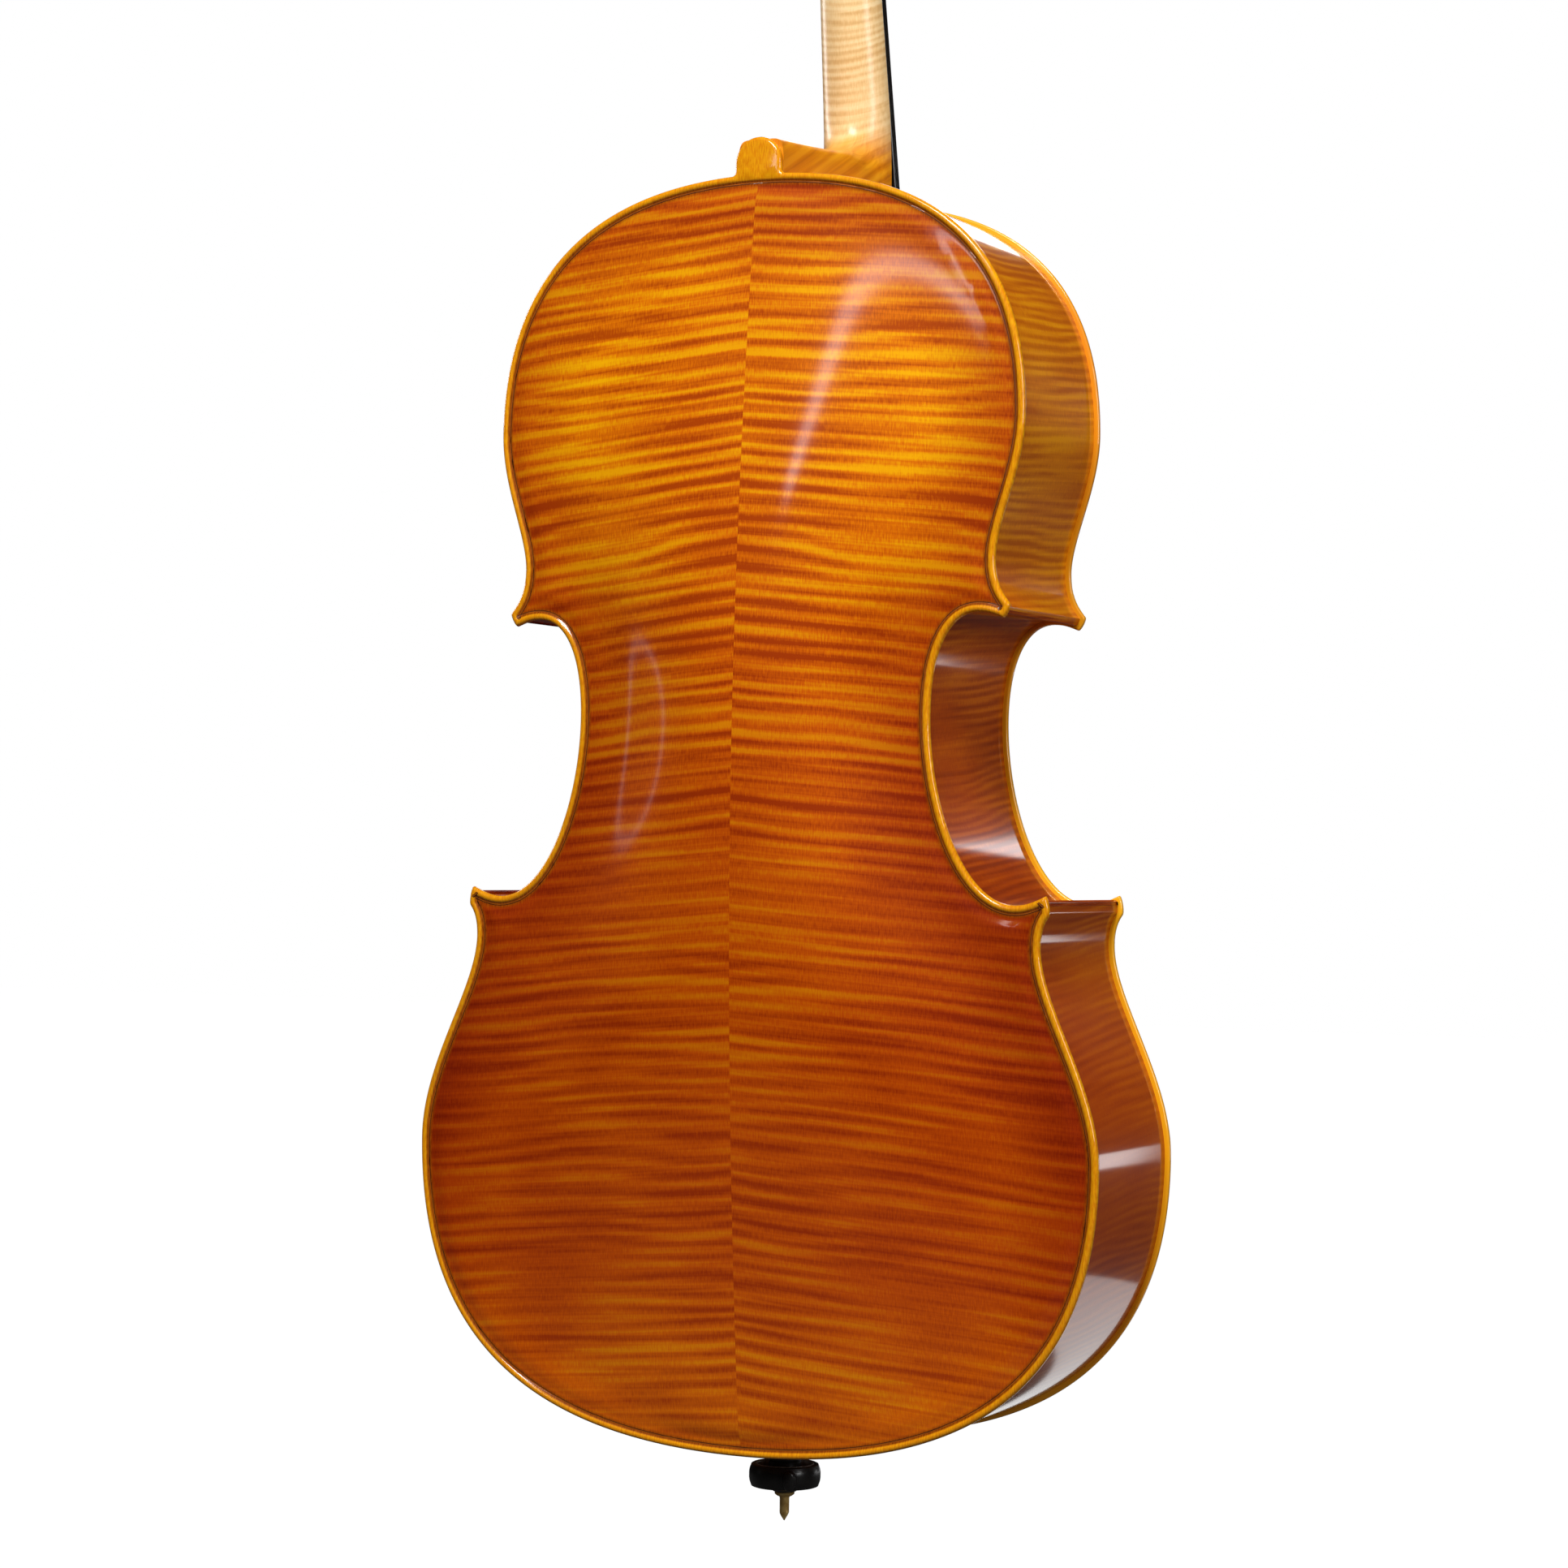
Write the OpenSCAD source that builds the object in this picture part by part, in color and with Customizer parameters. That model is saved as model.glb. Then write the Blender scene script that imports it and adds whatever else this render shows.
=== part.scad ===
// A full-size cello: an arched hollow body, a grafted neck and scroll, and all its fittings.
// Z runs up the body, the strings face -Y and the back faces +Y. The treble side is +X.
// The origin is on the endpin's axis, at the lower end of the tip's round shank.

/* [Body] */
// Length of the body without the button
body_length = 755; // [740:1:765]
// Width across the lower bouts
lower_bout = 443; // [436:1:450]
// Width across the waist
waist = 229; // [224:1:236]
// Width across the upper bouts
upper_bout = 343; // [336:1:350]
// Height of the ribs between the two plates
rib_height = 114; // [110:1:118]
// Thickness of both plates
plate_thickness = 4.5; // [4:0.5:5]
// Rise of the back's arch above its edge
back_arch = 24; // [20:1:26]
// Rise of the top's arch above its edge
top_arch = 25; // [20:1:26]
// Reach of the plates past the ribs
overhang = 3; // [2.5:0.5:3.5]
// Thickness of the bent ribs
rib_thickness = 1.8; // [1.4:0.2:2]
// Width of the back's button
button_width = 30; // [26:1:32]
// Height of the back's button above the body
button_height = 22; // [18:1:24]

/* [Neck and strings] */
// Length of the neck from the body to the nut
neck_length = 283; // [278:1:285]
// Backward tilt of the neck
neck_tilt = 8.8; // [8.5:0.1:9]
// Backward tilt of the pegbox against the neck
head_tilt = 12; // [10:1:13]
// Length of the fingerboard
board_length = 588; // [575:1:595]
// Width of the fingerboard at the nut
nut_width = 32; // [31:1:33]
// Width of the fingerboard at its free end
board_width = 63; // [60:1:64]
// Distance from the body's upper edge down to the bridge
stop = 400; // [396:1:402]
// Height of the bridge's crown in front of the ribs' front face
bridge_reach = 116; // [114:1:118]

/* [Endpin] */
// Height of the body's lower edge above the tip's shank
edge_above_tip = 41; // [41:0.5:42]
// Diameter of the rod
rod_diameter = 10; // [8:0.5:10]
// Length of the rod
rod_length = 470; // [400:5:480]
// Outside diameter of the collar's hoop
hoop_diameter = 43; // [41:0.5:44]

/* [Hidden] */
$fn = 48;

maple = "#c46a14";
back_varnish = "#d07d18";
spruce = "#c98228";
bare_maple = "#e3bd85";
ebony = "#1c1816";
steel = "#b9bcc0";
brass = "#8a6a2c";

// ---- Body outline ----

// Half widths, and the scale of every height on the outline
half_low = lower_bout / 2;
half_waist = waist / 2;
half_up = upper_bout / 2;
rise = body_length / 755;
rib_half = rib_height / 2;
rib_inset = overhang + rib_thickness;

// The named points of the half outline, as [half width, height]
low_bout = [half_low, 178];
low_neck = [half_low - 37, 302];
low_tip = [half_low - 32, 320];
low_tip_end = [half_low - 34, 331.5];
low_hook = [half_low - 52.5, 326];
waist_point = [half_waist, 435];
up_hook = [half_up - 27.5, 493.5];
up_tip = [half_up - 12, 489.8];
up_tip_end = [half_up - 8, 498];
up_neck = [half_up - 17.5, 524];
up_bout = [half_up, 607];
top_point = [0, 755];

// Points of a Bezier curve, without its first point
function bezier(a, b, c, d, n) = [for (i = [1:n]) let (t = i / n, s = 1 - t)
    a * s * s * s + b * 3 * s * s * t + c * 3 * s * t * t + d * t * t * t];

half_outline_points = concat(
    [[0, 0]],
    bezier([0, 0], [166, 0], low_bout - [0, 104], low_bout, 14),
    bezier(low_bout, low_bout + [0, 46], low_neck - [0, 32], low_neck, 6),
    bezier(low_neck, low_neck + [0, 9], low_tip - [3, 4], low_tip, 4),
    [low_tip_end],
    bezier(low_tip_end, low_tip_end - [5.5, 2.5], low_hook + [7, 0], low_hook, 4),
    bezier(low_hook, low_hook - [33, 0], waist_point - [0, 50], waist_point, 10),
    bezier(waist_point, waist_point + [0, 35], up_hook - [19, 0], up_hook, 8),
    bezier(up_hook, up_hook + [7, 0], up_tip - [4.5, -1.7], up_tip, 3),
    [up_tip_end],
    bezier(up_tip_end, up_tip_end + [-3.5, 4.5], up_neck - [0, 15], up_neck, 4),
    bezier(up_neck, up_neck + [0, 21], up_bout - [0, 32], up_bout, 6),
    bezier(up_bout, up_bout + [0, 83], top_point + [127, 0], top_point, 14));
half_outline = [for (p = half_outline_points) [p[0], p[1] * rise]];

// Unit normal on the inner side of an edge
function inner_normal(a, b) = let (d = (b - a) / norm(b - a)) [-d[1], d[0]];

// The half outline moved inwards by a distance, mitred at the corners
function inset(distance) = let (last = len(half_outline) - 1) [for (i = [0:last])
    let (before = i == 0 ? [0, 1] : inner_normal(half_outline[i - 1], half_outline[i]),
        after = i == last ? [0, -1] : inner_normal(half_outline[i], half_outline[i + 1]))
    i == 0 || i == last ? half_outline[i] + distance * (i == 0 ? before : after)
        : half_outline[i] + distance * (before + after) / (1 + before * after)];

function mirrored(points) = [for (i = [len(points) - 1:-1:0]) [-points[i][0], points[i][1]]];

module lift() translate([0, 0, edge_above_tip]) children();

// Extrudes a shape drawn as [x, z] from y = from to y = to
module slab(from, to) translate([0, to, 0]) rotate([90, 0, 0]) linear_extrude(to - from) children();

// Extrudes a profile drawn as [y, z] across a width in x
module across(width) rotate([90, 0, 90]) linear_extrude(width, center = true) children();

module half_shape(distance, past_seam = 0) polygon(concat(
    [[-past_seam, distance]], inset(distance), [[-past_seam, body_length - distance]]));
module full_shape(distance) polygon(concat(inset(distance), mirrored(inset(distance))));

// A closed skin through rings of points, which turn anticlockwise about the way they run
module loft(rings) {
    n = len(rings[0]);
    last = len(rings) - 1;
    sides = [for (i = [0:last - 1], j = [0:n - 1]) let (k = (j + 1) % n)
        each [[i * n + j, i * n + n + j, i * n + n + k], [i * n + j, i * n + n + k, i * n + k]]];
    ends = [[for (j = [0:n - 1]) j], [for (j = [n - 1:-1:0]) last * n + j]];
    polyhedron([for (ring = rings) each ring], concat(sides, ends), convexity = 4);
}

function unit(v) = v / norm(v);

// A round tube through a path, with a radius at each point; side_way is never along the path
module tube(path, radii, side_way, sides = 8) {
    last = len(path) - 1;
    loft([for (i = [0:last])
        let (t = unit((i == 0 ? [0, 0, 0] : unit(path[i] - path[i - 1]))
                + (i == last ? [0, 0, 0] : unit(path[i + 1] - path[i]))),
            u = unit(cross(side_way, t)), v = cross(t, u))
        [for (k = [0:sides - 1]) let (a = 360 * (k + 0.5) / sides)
            path[i] + radii[i] * (cos(a) * u + sin(a) * v)]]);
}

// ---- Arched plates ----

// How far the arched field stays inside the outline at the three widths and at both ends
low_arch_gap = 14;
waist_arch_gap = 10;
up_arch_gap = 12;
end_arch_gap = 8;

// Half width of the arched field at a height, which runs inside the outline
function field_width(z) = let (a = low_bout[1] * rise, b = waist_point[1] * rise,
        c = up_bout[1] * rise, top = body_length - end_arch_gap,
        low = half_low - low_arch_gap, mid = half_waist - waist_arch_gap, up = half_up - up_arch_gap)
    z <= end_arch_gap || z >= top ? 0.01
    : z < a ? low * sqrt(1 - pow((a - z) / (a - end_arch_gap), 2)) + 0.01
    : z < b ? low + (mid - low) * (1 - cos(180 * (z - a) / (b - a))) / 2
    : z < c ? mid + (up - mid) * (1 - cos(180 * (z - b) / (c - b))) / 2
    : up * sqrt(1 - pow((z - c) / (top - c), 2)) + 0.01;
function long_arch(z) = z <= 0 || z >= body_length ? 0 : pow(sin(180 * z / body_length), 0.9);
function cross_arch(u) = u >= 1 ? 0 : (1 + cos(180 * pow(u, 1.25))) / 2;
// Rise of a plate above its edge
function arch(x, z) = long_arch(z) * cross_arch(abs(x) / field_width(z));

columns = 16;
rows = 48;

// Half of an arched sheet of even thickness, on the +X side, with its inner face at the ribs
module arched_sheet(rise_height) {
    n = columns + 1;
    layer = n * (rows + 1);
    function spot(i, j, out) = let (x = (half_low + 2) * i / columns,
            z = -2 + (body_length + 4) * j / rows)
        [x, rib_half + rise_height * arch(x, z) + (out ? plate_thickness : 0), z];
    function quad(a, b, c, d) = [[a, b, c], [a, c, d]];
    points = [for (out = [1, 0], j = [0:rows], i = [0:columns]) spot(i, j, out == 1)];
    outer = [for (j = [0:rows - 1], i = [0:columns - 1]) let (a = j * n + i)
        each quad(a, a + 1, a + n + 1, a + n)];
    inner = [for (j = [0:rows - 1], i = [0:columns - 1]) let (a = layer + j * n + i)
        each quad(a, a + n, a + n + 1, a + 1)];
    seam = [for (j = [0:rows - 1]) let (a = j * n)
        each quad(layer + a, a, a + n, layer + a + n)];
    side = [for (j = [0:rows - 1]) let (a = j * n + columns)
        each quad(a, layer + a, layer + a + n, a + n)];
    bottom = [for (i = [0:columns - 1]) each quad(layer + i, layer + i + 1, i + 1, i)];
    top = [for (i = [0:columns - 1]) let (a = rows * n + i)
        each quad(a, a + 1, layer + a + 1, layer + a)];
    polyhedron(points, concat(outer, inner, seam, side, bottom, top), convexity = 6);
}

purfling_inset = 4.5;
purfling_width = 1.4;
purfling_depth = 2;

// The three-ply inlay that runs round inside the edge, on the +X side
module purfling_ring() slab(rib_half + plate_thickness - purfling_depth, rib_half + plate_thickness)
    difference() {
        half_shape(purfling_inset);
        half_shape(purfling_inset + purfling_width, 1);
    }

// Extrudes a shape drawn as [x, z] right through a plate
module through_plate() slab(rib_half - 1, rib_half + 60) children();

module back_half() difference() {
    union() {
        intersection() {
            arched_sheet(back_arch);
            through_plate() half_shape(0);
        }
        slab(rib_half, rib_half + plate_thickness) intersection() {
            union() {
                translate([0, body_length + button_height - button_width / 2])
                    circle(d = button_width);
                translate([-button_width / 2, body_length - 8])
                    square([button_width, 8 + button_height - button_width / 2]);
            }
            translate([0, body_length - 20]) square(60);
        }
    }
    purfling_ring();
}

// Half of the top, drawn on the back's side of the ribs
module top_half() difference() {
    intersection() {
        arched_sheet(top_arch);
        through_plate() half_shape(0);
    }
    purfling_ring();
    through_plate() {
        f_hole();
        square([heel_front_width / 2, saddle_height]);
        translate([0, body_length - heel_depth]) square([heel_front_width / 2, heel_depth + 1]);
    }
}

// One sound hole: two round eyes and a slim stem that curls over the upper and under the lower
upper_eye = [50, 414];
lower_eye = [90, 301];
module f_hole() {
    spine = concat(
        [upper_eye + [-5, 2]],
        bezier(upper_eye + [-5, 2], [47, 432], [67, 436], [68, 406], 8),
        bezier([68, 406], [69, 388], [71.5, 335], [73, 313], 4),
        bezier([73, 313], [74, 283], [93, 282], lower_eye + [6, -4], 8));
    last = len(spine) - 1;
    function half_gap(i) = 0.9 + 2.4 * sin(180 * i / last);
    function side(i, way) = let (a = spine[max(i - 1, 0)], b = spine[min(i + 1, last)])
        spine[i] + way * half_gap(i) * inner_normal(a, b);
    scale([1, rise]) {
        polygon([for (i = [0:last]) side(i, 1), for (i = [last:-1:0]) side(i, -1)]);
        translate(upper_eye) circle(6.5);
        translate(lower_eye) circle(8.5);
    }
}

module back_plate_treble() lift() color(back_varnish) back_half();
module back_plate_bass() lift() color(back_varnish) mirror([1, 0, 0]) back_half();
module top_plate_treble() lift() color(spruce) mirror([0, 1, 0]) top_half();
module top_plate_bass() lift() color(spruce) mirror([1, 0, 0]) mirror([0, 1, 0]) top_half();
module back_purfling() lift() color(ebony) for (side = [0, 1]) mirror([side, 0, 0]) purfling_ring();
module top_purfling() lift() color(ebony) for (side = [0, 1]) mirror([side, 0, 0]) difference() {
    mirror([0, 1, 0]) purfling_ring();
    neck_mortise();
    saddle_room();
}

// ---- Ribs, blocks and linings ----

plug_radius = 10;
wall_gap = 0.02;

// Bore that the endpin's plug fills
module plug_bore() translate([0, 0, -5]) cylinder(r = plug_radius + wall_gap, h = 60);

// Whole band of rib on the +X side
module rib_band() difference() {
    slab(-rib_half, rib_half) difference() {
        half_shape(overhang);
        half_shape(rib_inset, 1);
    }
    plug_bore();
    neck_mortise();
}

// Lines across the corners, where two ribs meet: [point, slope]
low_mitre = [low_tip + [-7, 0.5], 0.73];
up_mitre = [[half_up - 10, 494], -0.82];
function on_line(line, x) = [x, (line[0][1] + line[1] * (x - line[0][0])) * rise];

module rib_part(shape) intersection() {
    rib_band();
    slab(-rib_half - 1, rib_half + 1) polygon(shape);
}
far = 300;
low_region = [[-1, -20], [far, -20], on_line(low_mitre, far), on_line(low_mitre, -1)];
up_region = [[-1, body_length + 20], [far, body_length + 20], on_line(up_mitre, far),
    on_line(up_mitre, -1)];
waist_region = [on_line(low_mitre, 60), on_line(low_mitre, far), on_line(up_mitre, far),
    on_line(up_mitre, 60)];

module lower_rib_treble() lift() color(maple) rib_part(low_region);
module lower_rib_bass() lift() color(maple) mirror([1, 0, 0]) rib_part(low_region);
module waist_rib_treble() lift() color(maple) rib_part(waist_region);
module waist_rib_bass() lift() color(maple) mirror([1, 0, 0]) rib_part(waist_region);
module upper_rib_treble() lift() color(maple) rib_part(up_region);
module upper_rib_bass() lift() color(maple) mirror([1, 0, 0]) rib_part(up_region);

lining_width = 2.4;
lining_height = 14;
end_block_size = [100, 30];
neck_block_size = [84, 46];
corner_block_size = 38;
low_corner_block = [half_low - 72, 287 * rise];
up_corner_block = [half_up - 50, 490 * rise];

module end_block_box() translate([-end_block_size[0] / 2, -1])
    square([end_block_size[0], end_block_size[1] + 1 + rib_inset]);
module neck_block_box() translate([-neck_block_size[0] / 2, body_length - neck_block_size[1]])
    square([neck_block_size[0], neck_block_size[1] + 1]);
module corner_block_box(corner) translate(corner) square(corner_block_size);

module block(from = -rib_half, to = rib_half) intersection() {
    slab(from, to) full_shape(rib_inset);
    slab(from - 1, to + 1) children();
}

module linings(from, to) difference() {
    slab(from, to) difference() {
        full_shape(rib_inset);
        full_shape(rib_inset + lining_width);
    }
    slab(from - 1, to + 1) {
        end_block_box();
        neck_block_box();
        for (side = [0, 1]) mirror([side, 0]) {
            corner_block_box(low_corner_block);
            corner_block_box(up_corner_block);
        }
    }
}

module back_linings() lift() color(bare_maple) linings(rib_half - lining_height, rib_half);
module top_linings() lift() color(bare_maple) linings(-rib_half, lining_height - rib_half);
module lower_corner_blocks() lift() color(bare_maple) for (side = [0, 1]) mirror([side, 0, 0])
    block() corner_block_box(low_corner_block);
module upper_corner_blocks() lift() color(bare_maple) for (side = [0, 1]) mirror([side, 0, 0])
    block() corner_block_box(up_corner_block);
module end_block() lift() color(bare_maple) difference() {
    block() end_block_box();
    plug_bore();
}
module neck_block() lift() color(bare_maple) difference() {
    block() neck_block_box();
    neck_mortise();
}

// ---- Bass bar and sound post ----

bar_x = -27;
bar_width = 10;
bar_depth = 24;
bar_ends = [95, 645];
post_place = [26, 338];
post_radius = 5.5;
fitting_gap = 0.2;

module bass_bar() lift() color(bare_maple) loft([for (i = [0:16]) let (t = i / 16,
        z = (bar_ends[0] + (bar_ends[1] - bar_ends[0]) * t) * rise,
        deep = 3 + (bar_depth - 3) * sin(180 * t),
        front = -rib_half - top_arch * arch(bar_x - bar_width / 2, z) + fitting_gap)
    [[bar_x + bar_width / 2, front + deep, z], [bar_x - bar_width / 2, front + deep, z],
        [bar_x - bar_width / 2, front, z], [bar_x + bar_width / 2, front, z]]]);

module sound_post() lift() color(spruce) let (z = post_place[1] * rise,
        x = post_place[0] + post_radius,
        front = rib_half + top_arch * arch(x, z) - fitting_gap,
        back = rib_half + back_arch * arch(x, z) - fitting_gap)
    translate([post_place[0], back, z]) rotate([90, 0, 0])
        cylinder(r = post_radius, h = front + back);

// ---- Neck ----

// The fingerboard's glued face passes this far in front of the ribs' front face at the body
board_standoff = 31;
board_y = -rib_half - board_standoff;
heel_depth = 14;
heel_front_width = 42;
heel_throat = 60;
neck_depth = [21, 18.5];
saddle_height = 9;
// How far the neck's foot and the saddle's room run past the ribs' front face
past_front = 40;

function turn(p, a) = [p[0], p[1] * cos(a) - p[2] * sin(a), p[1] * sin(a) + p[2] * cos(a)];
function from_neck(p) = turn(p, -neck_tilt) + [0, board_y, body_length];
function side_view(p) = [p[1], p[2]];
function from_head(p) = from_neck(turn(p, -head_tilt) + [0, 0, neck_length]);
module neck_frame() translate([0, board_y, body_length]) rotate([-neck_tilt, 0, 0]) children();
module head_frame() neck_frame() translate([0, 0, neck_length]) rotate([-head_tilt, 0, 0]) children();

// Width of the neck and fingerboard at a height along the neck
function board_width_at(z) = nut_width + (board_width - nut_width) * (neck_length - z) / board_length;

// The foot of the neck as seen from above, wider towards the strings
module heel_plan() translate([0, 0, body_length - heel_depth]) linear_extrude(120)
    polygon([for (side = [-1, 1]) each side < 0
        ? [[-button_width / 2, rib_half], [-heel_front_width / 2, -rib_half - past_front]]
        : [[heel_front_width / 2, -rib_half - past_front], [button_width / 2, rib_half]]]);
module neck_mortise() heel_plan();
module saddle_room() translate([-heel_front_width / 2, -rib_half - past_front, -1])
    cube([heel_front_width, past_front, saddle_height + 1]);

// The heel's profile stays this far behind the glued face, which the neck's own sections make
heel_face_gap = 2;
module heel_profile() let (back = body_length + button_height - 1,
        throat = side_view(from_neck([0, neck_depth[0], heel_throat]))) polygon(concat(
    [[rib_half, body_length - heel_depth], [rib_half, back]],
    bezier([rib_half, back], [20, back + 3], [-15, back + 5], [-32, back + 9], 6),
    bezier([-32, back + 9], [-44, back + 12], throat - [0, 20], throat, 6),
    [for (z = [heel_throat, -heel_depth]) side_view(from_neck([0, heel_face_gap, z]))]));

module neck() lift() color(bare_maple) union() {
    intersection() {
        heel_plan();
        across(60) heel_profile();
    }
    neck_frame() loft([for (i = [0:6]) let (z = -heel_depth + (neck_length + heel_depth) * i / 6,
            half = board_width_at(z) / 2,
            depth = neck_depth[0] + (neck_depth[1] - neck_depth[0]) * i / 6)
        [for (a = [0:15:180]) [half * cos(a), depth * sin(a), z]]]);
}

// ---- Fingerboard and nut ----

board_side = 7;
board_radius = 62;
nut_length = 8;
nut_rise = 0.6;
function board_crown(x, half) = sqrt(board_radius * board_radius - x * x)
    - sqrt(board_radius * board_radius - half * half);

module board(from, to, stations, extra = 0) neck_frame() loft([for (i = [0:stations])
        let (z = from + (to - from) * i / stations, half = board_width_at(z) / 2)
    concat([[half, 0, z], [-half, 0, z]], [for (k = [-5:5]) let (x = half * k / 5)
        [x, -board_side - extra - board_crown(x, half), z]])]);

module fingerboard() lift() color(ebony) board(neck_length - board_length, neck_length, 6);
module nut() lift() color(ebony) board(neck_length, neck_length + nut_length, 1, nut_rise);

// ---- Pegbox and scroll ----

head_length = 178;
scroll_radius = 28;
pegbox_wall = 7;
peg_depth = 14;
peg_heights = [30, 94, 122, 58];
peg_sides = [0, 0, 1, 1];
peg_taper = [7.2, 5.6];
peg_reach = [24, 25];
peg_gap = 0.05;
function pegbox_half(s) = 21 - 0.03 * s;

module pegbox_profile() polygon([[0, -12], [0, 8], [-2, 80], [-3, 150], [-20, 172], [8, 206],
    [25, 190], [26, 160], [28, 120], [31, 80], [33, 40], [29, 10], [21, -2], [19, -12]]);

module peg_cone(gap) translate([-peg_reach[1], 0, 0]) rotate([0, 90, 0])
    cylinder(r1 = peg_taper[1] + gap, r2 = peg_taper[0] + gap, h = peg_reach[0] + peg_reach[1]);

module at_peg(i) head_frame() translate([0, peg_depth, peg_heights[i]])
    mirror([peg_sides[i], 0, 0]) children();

module pegbox_and_scroll() lift() color(maple) difference() {
    union() {
        intersection() {
            head_frame() intersection() {
                across(60) pegbox_profile();
                translate([0, 80, 0]) rotate([90, 0, 0]) linear_extrude(160) polygon([
                    [-16, -15], [-pegbox_half(6), 6], [-pegbox_half(160), 160], [-15, 220],
                    [15, 220], [pegbox_half(160), 160], [pegbox_half(6), 6], [16, -15]]);
            }
            neck_frame() translate([-50, -80, neck_length]) cube([100, 200, 260]);
        }
        neck_frame() translate([-nut_width / 2, 0, neck_length]) cube([nut_width, 8, 8]);
        head_frame() translate([0, -2, head_length]) rotate([0, 90, 0]) {
            cylinder(r = scroll_radius, h = 34, center = true);
            translate([1, -1, 0]) cylinder(r = scroll_radius - 9, h = 48, center = true);
            translate([1, 0, 0]) cylinder(r = scroll_radius - 18, h = 60, center = true);
        }
    }
    head_frame() translate([0, 23, 14]) rotate([90, 0, 0]) linear_extrude(60) polygon([
        [-pegbox_half(14) + pegbox_wall, 0], [pegbox_half(14) - pegbox_wall, 0],
        [pegbox_half(130) - pegbox_wall, 124], [-pegbox_half(130) + pegbox_wall, 124]]);
    for (i = [0:3]) at_peg(i) peg_cone(peg_gap);
}

// ---- Pegs ----

peg_thumb_radius = 16;
module peg(i) lift() color(ebony) at_peg(i) union() {
    peg_cone(0);
    rotate([0, 90, 0]) rotate_extrude() polygon([[0, 20], [7, 23], [9.5, 25], [9.5, 28],
        [6, 30], [5, 34], [7, 42], [0, 42]]);
    translate([peg_thumb_radius + 40, 0, 0]) rotate([90, 0, 0])
        cylinder(r = peg_thumb_radius, h = 10, center = true);
}
module peg_a() peg(0);
module peg_d() peg(1);
module peg_g() peg(2);
module peg_c() peg(3);

// ---- Strings ----

// One value for each string, in the order A, D, G, C
string_radii = [0.4, 0.5, 0.7, 0.95];
bridge_x = [24, 8, -8, -24];
nut_x = [11, 3.7, -3.7, -11];
tail_x = [21, 7, -7, -21];
coil_x = [3, 2, 2, 3];
coil_turns = 5;
coil_pitch = 2.1;
rest_gap = 0.05;

bridge_z = body_length - stop;
bridge_y = -rib_half - bridge_reach;
bridge_radius = 65;
function bridge_drop(x) = bridge_radius - sqrt(bridge_radius * bridge_radius - x * x);

saddle_y = -rib_half - 14.5;
saddle_z = 2;
tail_tilt = atan2(saddle_y - bridge_y, bridge_z - saddle_z);
function from_tail(p) = turn(p, tail_tilt) + [0, saddle_y, saddle_z];
module tail_frame() translate([0, saddle_y, saddle_z]) rotate([tail_tilt, 0, 0]) children();

function peg_radius_at(x) = peg_taper[1]
    + (peg_taper[0] - peg_taper[1]) * (x + peg_reach[1]) / (peg_reach[0] + peg_reach[1]);
coil_base = peg_radius_at(16) + rest_gap;

ball_radius = 2.6;
ball_drop = 0.22;
function tail_point(i) = from_tail([tail_x[i], tuner_string_drop + bridge_drop(tail_x[i]) * ball_drop,
    ball_height]);
function bridge_point(i) = [bridge_x[i], bridge_y + bridge_drop(bridge_x[i]), bridge_z];
function nut_point(i) = from_neck([nut_x[i], -board_side - nut_rise - rest_gap - string_radii[i]
    - board_crown(nut_x[i], nut_width / 2), neck_length]);
function nut_exit(i) = nut_point(i) + from_neck([0, 0, nut_length]) - from_neck([0, 0, 0]);
// The straight run from the nut meets the coil near its front
function coil_point(i) = from_head([(peg_sides[i] == 0 ? 1 : -1) * coil_x[i],
    peg_depth - coil_base - 3 * string_radii[i] - 0.4, peg_heights[i] - 3]);

// A string with the ball on its lower end, over the bridge and the nut to its peg
module string(i) lift() color(steel) {
    r = string_radii[i];
    ball = tail_point(i);
    way = unit(bridge_point(i) - ball);
    ball_path = [for (a = [-80:20:60]) ball + ball_radius * sin(a) * way];
    tube(concat(ball_path, [ball + ball_radius * way, bridge_point(i), nut_point(i), nut_exit(i),
        coil_point(i)]), concat([for (a = [-80:20:60]) ball_radius * cos(a)], [r, r, r, r, r]),
        [0, 1, 0]);
}
module string_a() string(0);
module string_d() string(1);
module string_g() string(2);
module string_c() string(3);

// The turns of a string on its peg
module winding(i) lift() color(steel) at_peg(i) for (k = [0:coil_turns - 1])
    translate([coil_x[i] + (k - 2) * coil_pitch, 0, 0]) rotate([0, 90, 0])
        rotate_extrude() translate([coil_base + string_radii[i], 0]) circle(string_radii[i], $fn = 16);
module winding_a() winding(0);
module winding_d() winding(1);
module winding_g() winding(2);
module winding_c() winding(3);

// ---- Bridge ----

bridge_foot_z = 5.5;
bridge_top_z = 1.6;
foot_middle = 38;
foot_gap = 0.1;
belly_y = -rib_half - plate_thickness - top_arch * arch(foot_middle, bridge_z);

// Height of the arched top at a place under a foot, measured from the foot's middle
function foot_level(x) = top_arch * (arch(x, bridge_z - bridge_foot_z) - arch(foot_middle, bridge_z))
    + foot_gap;

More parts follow.
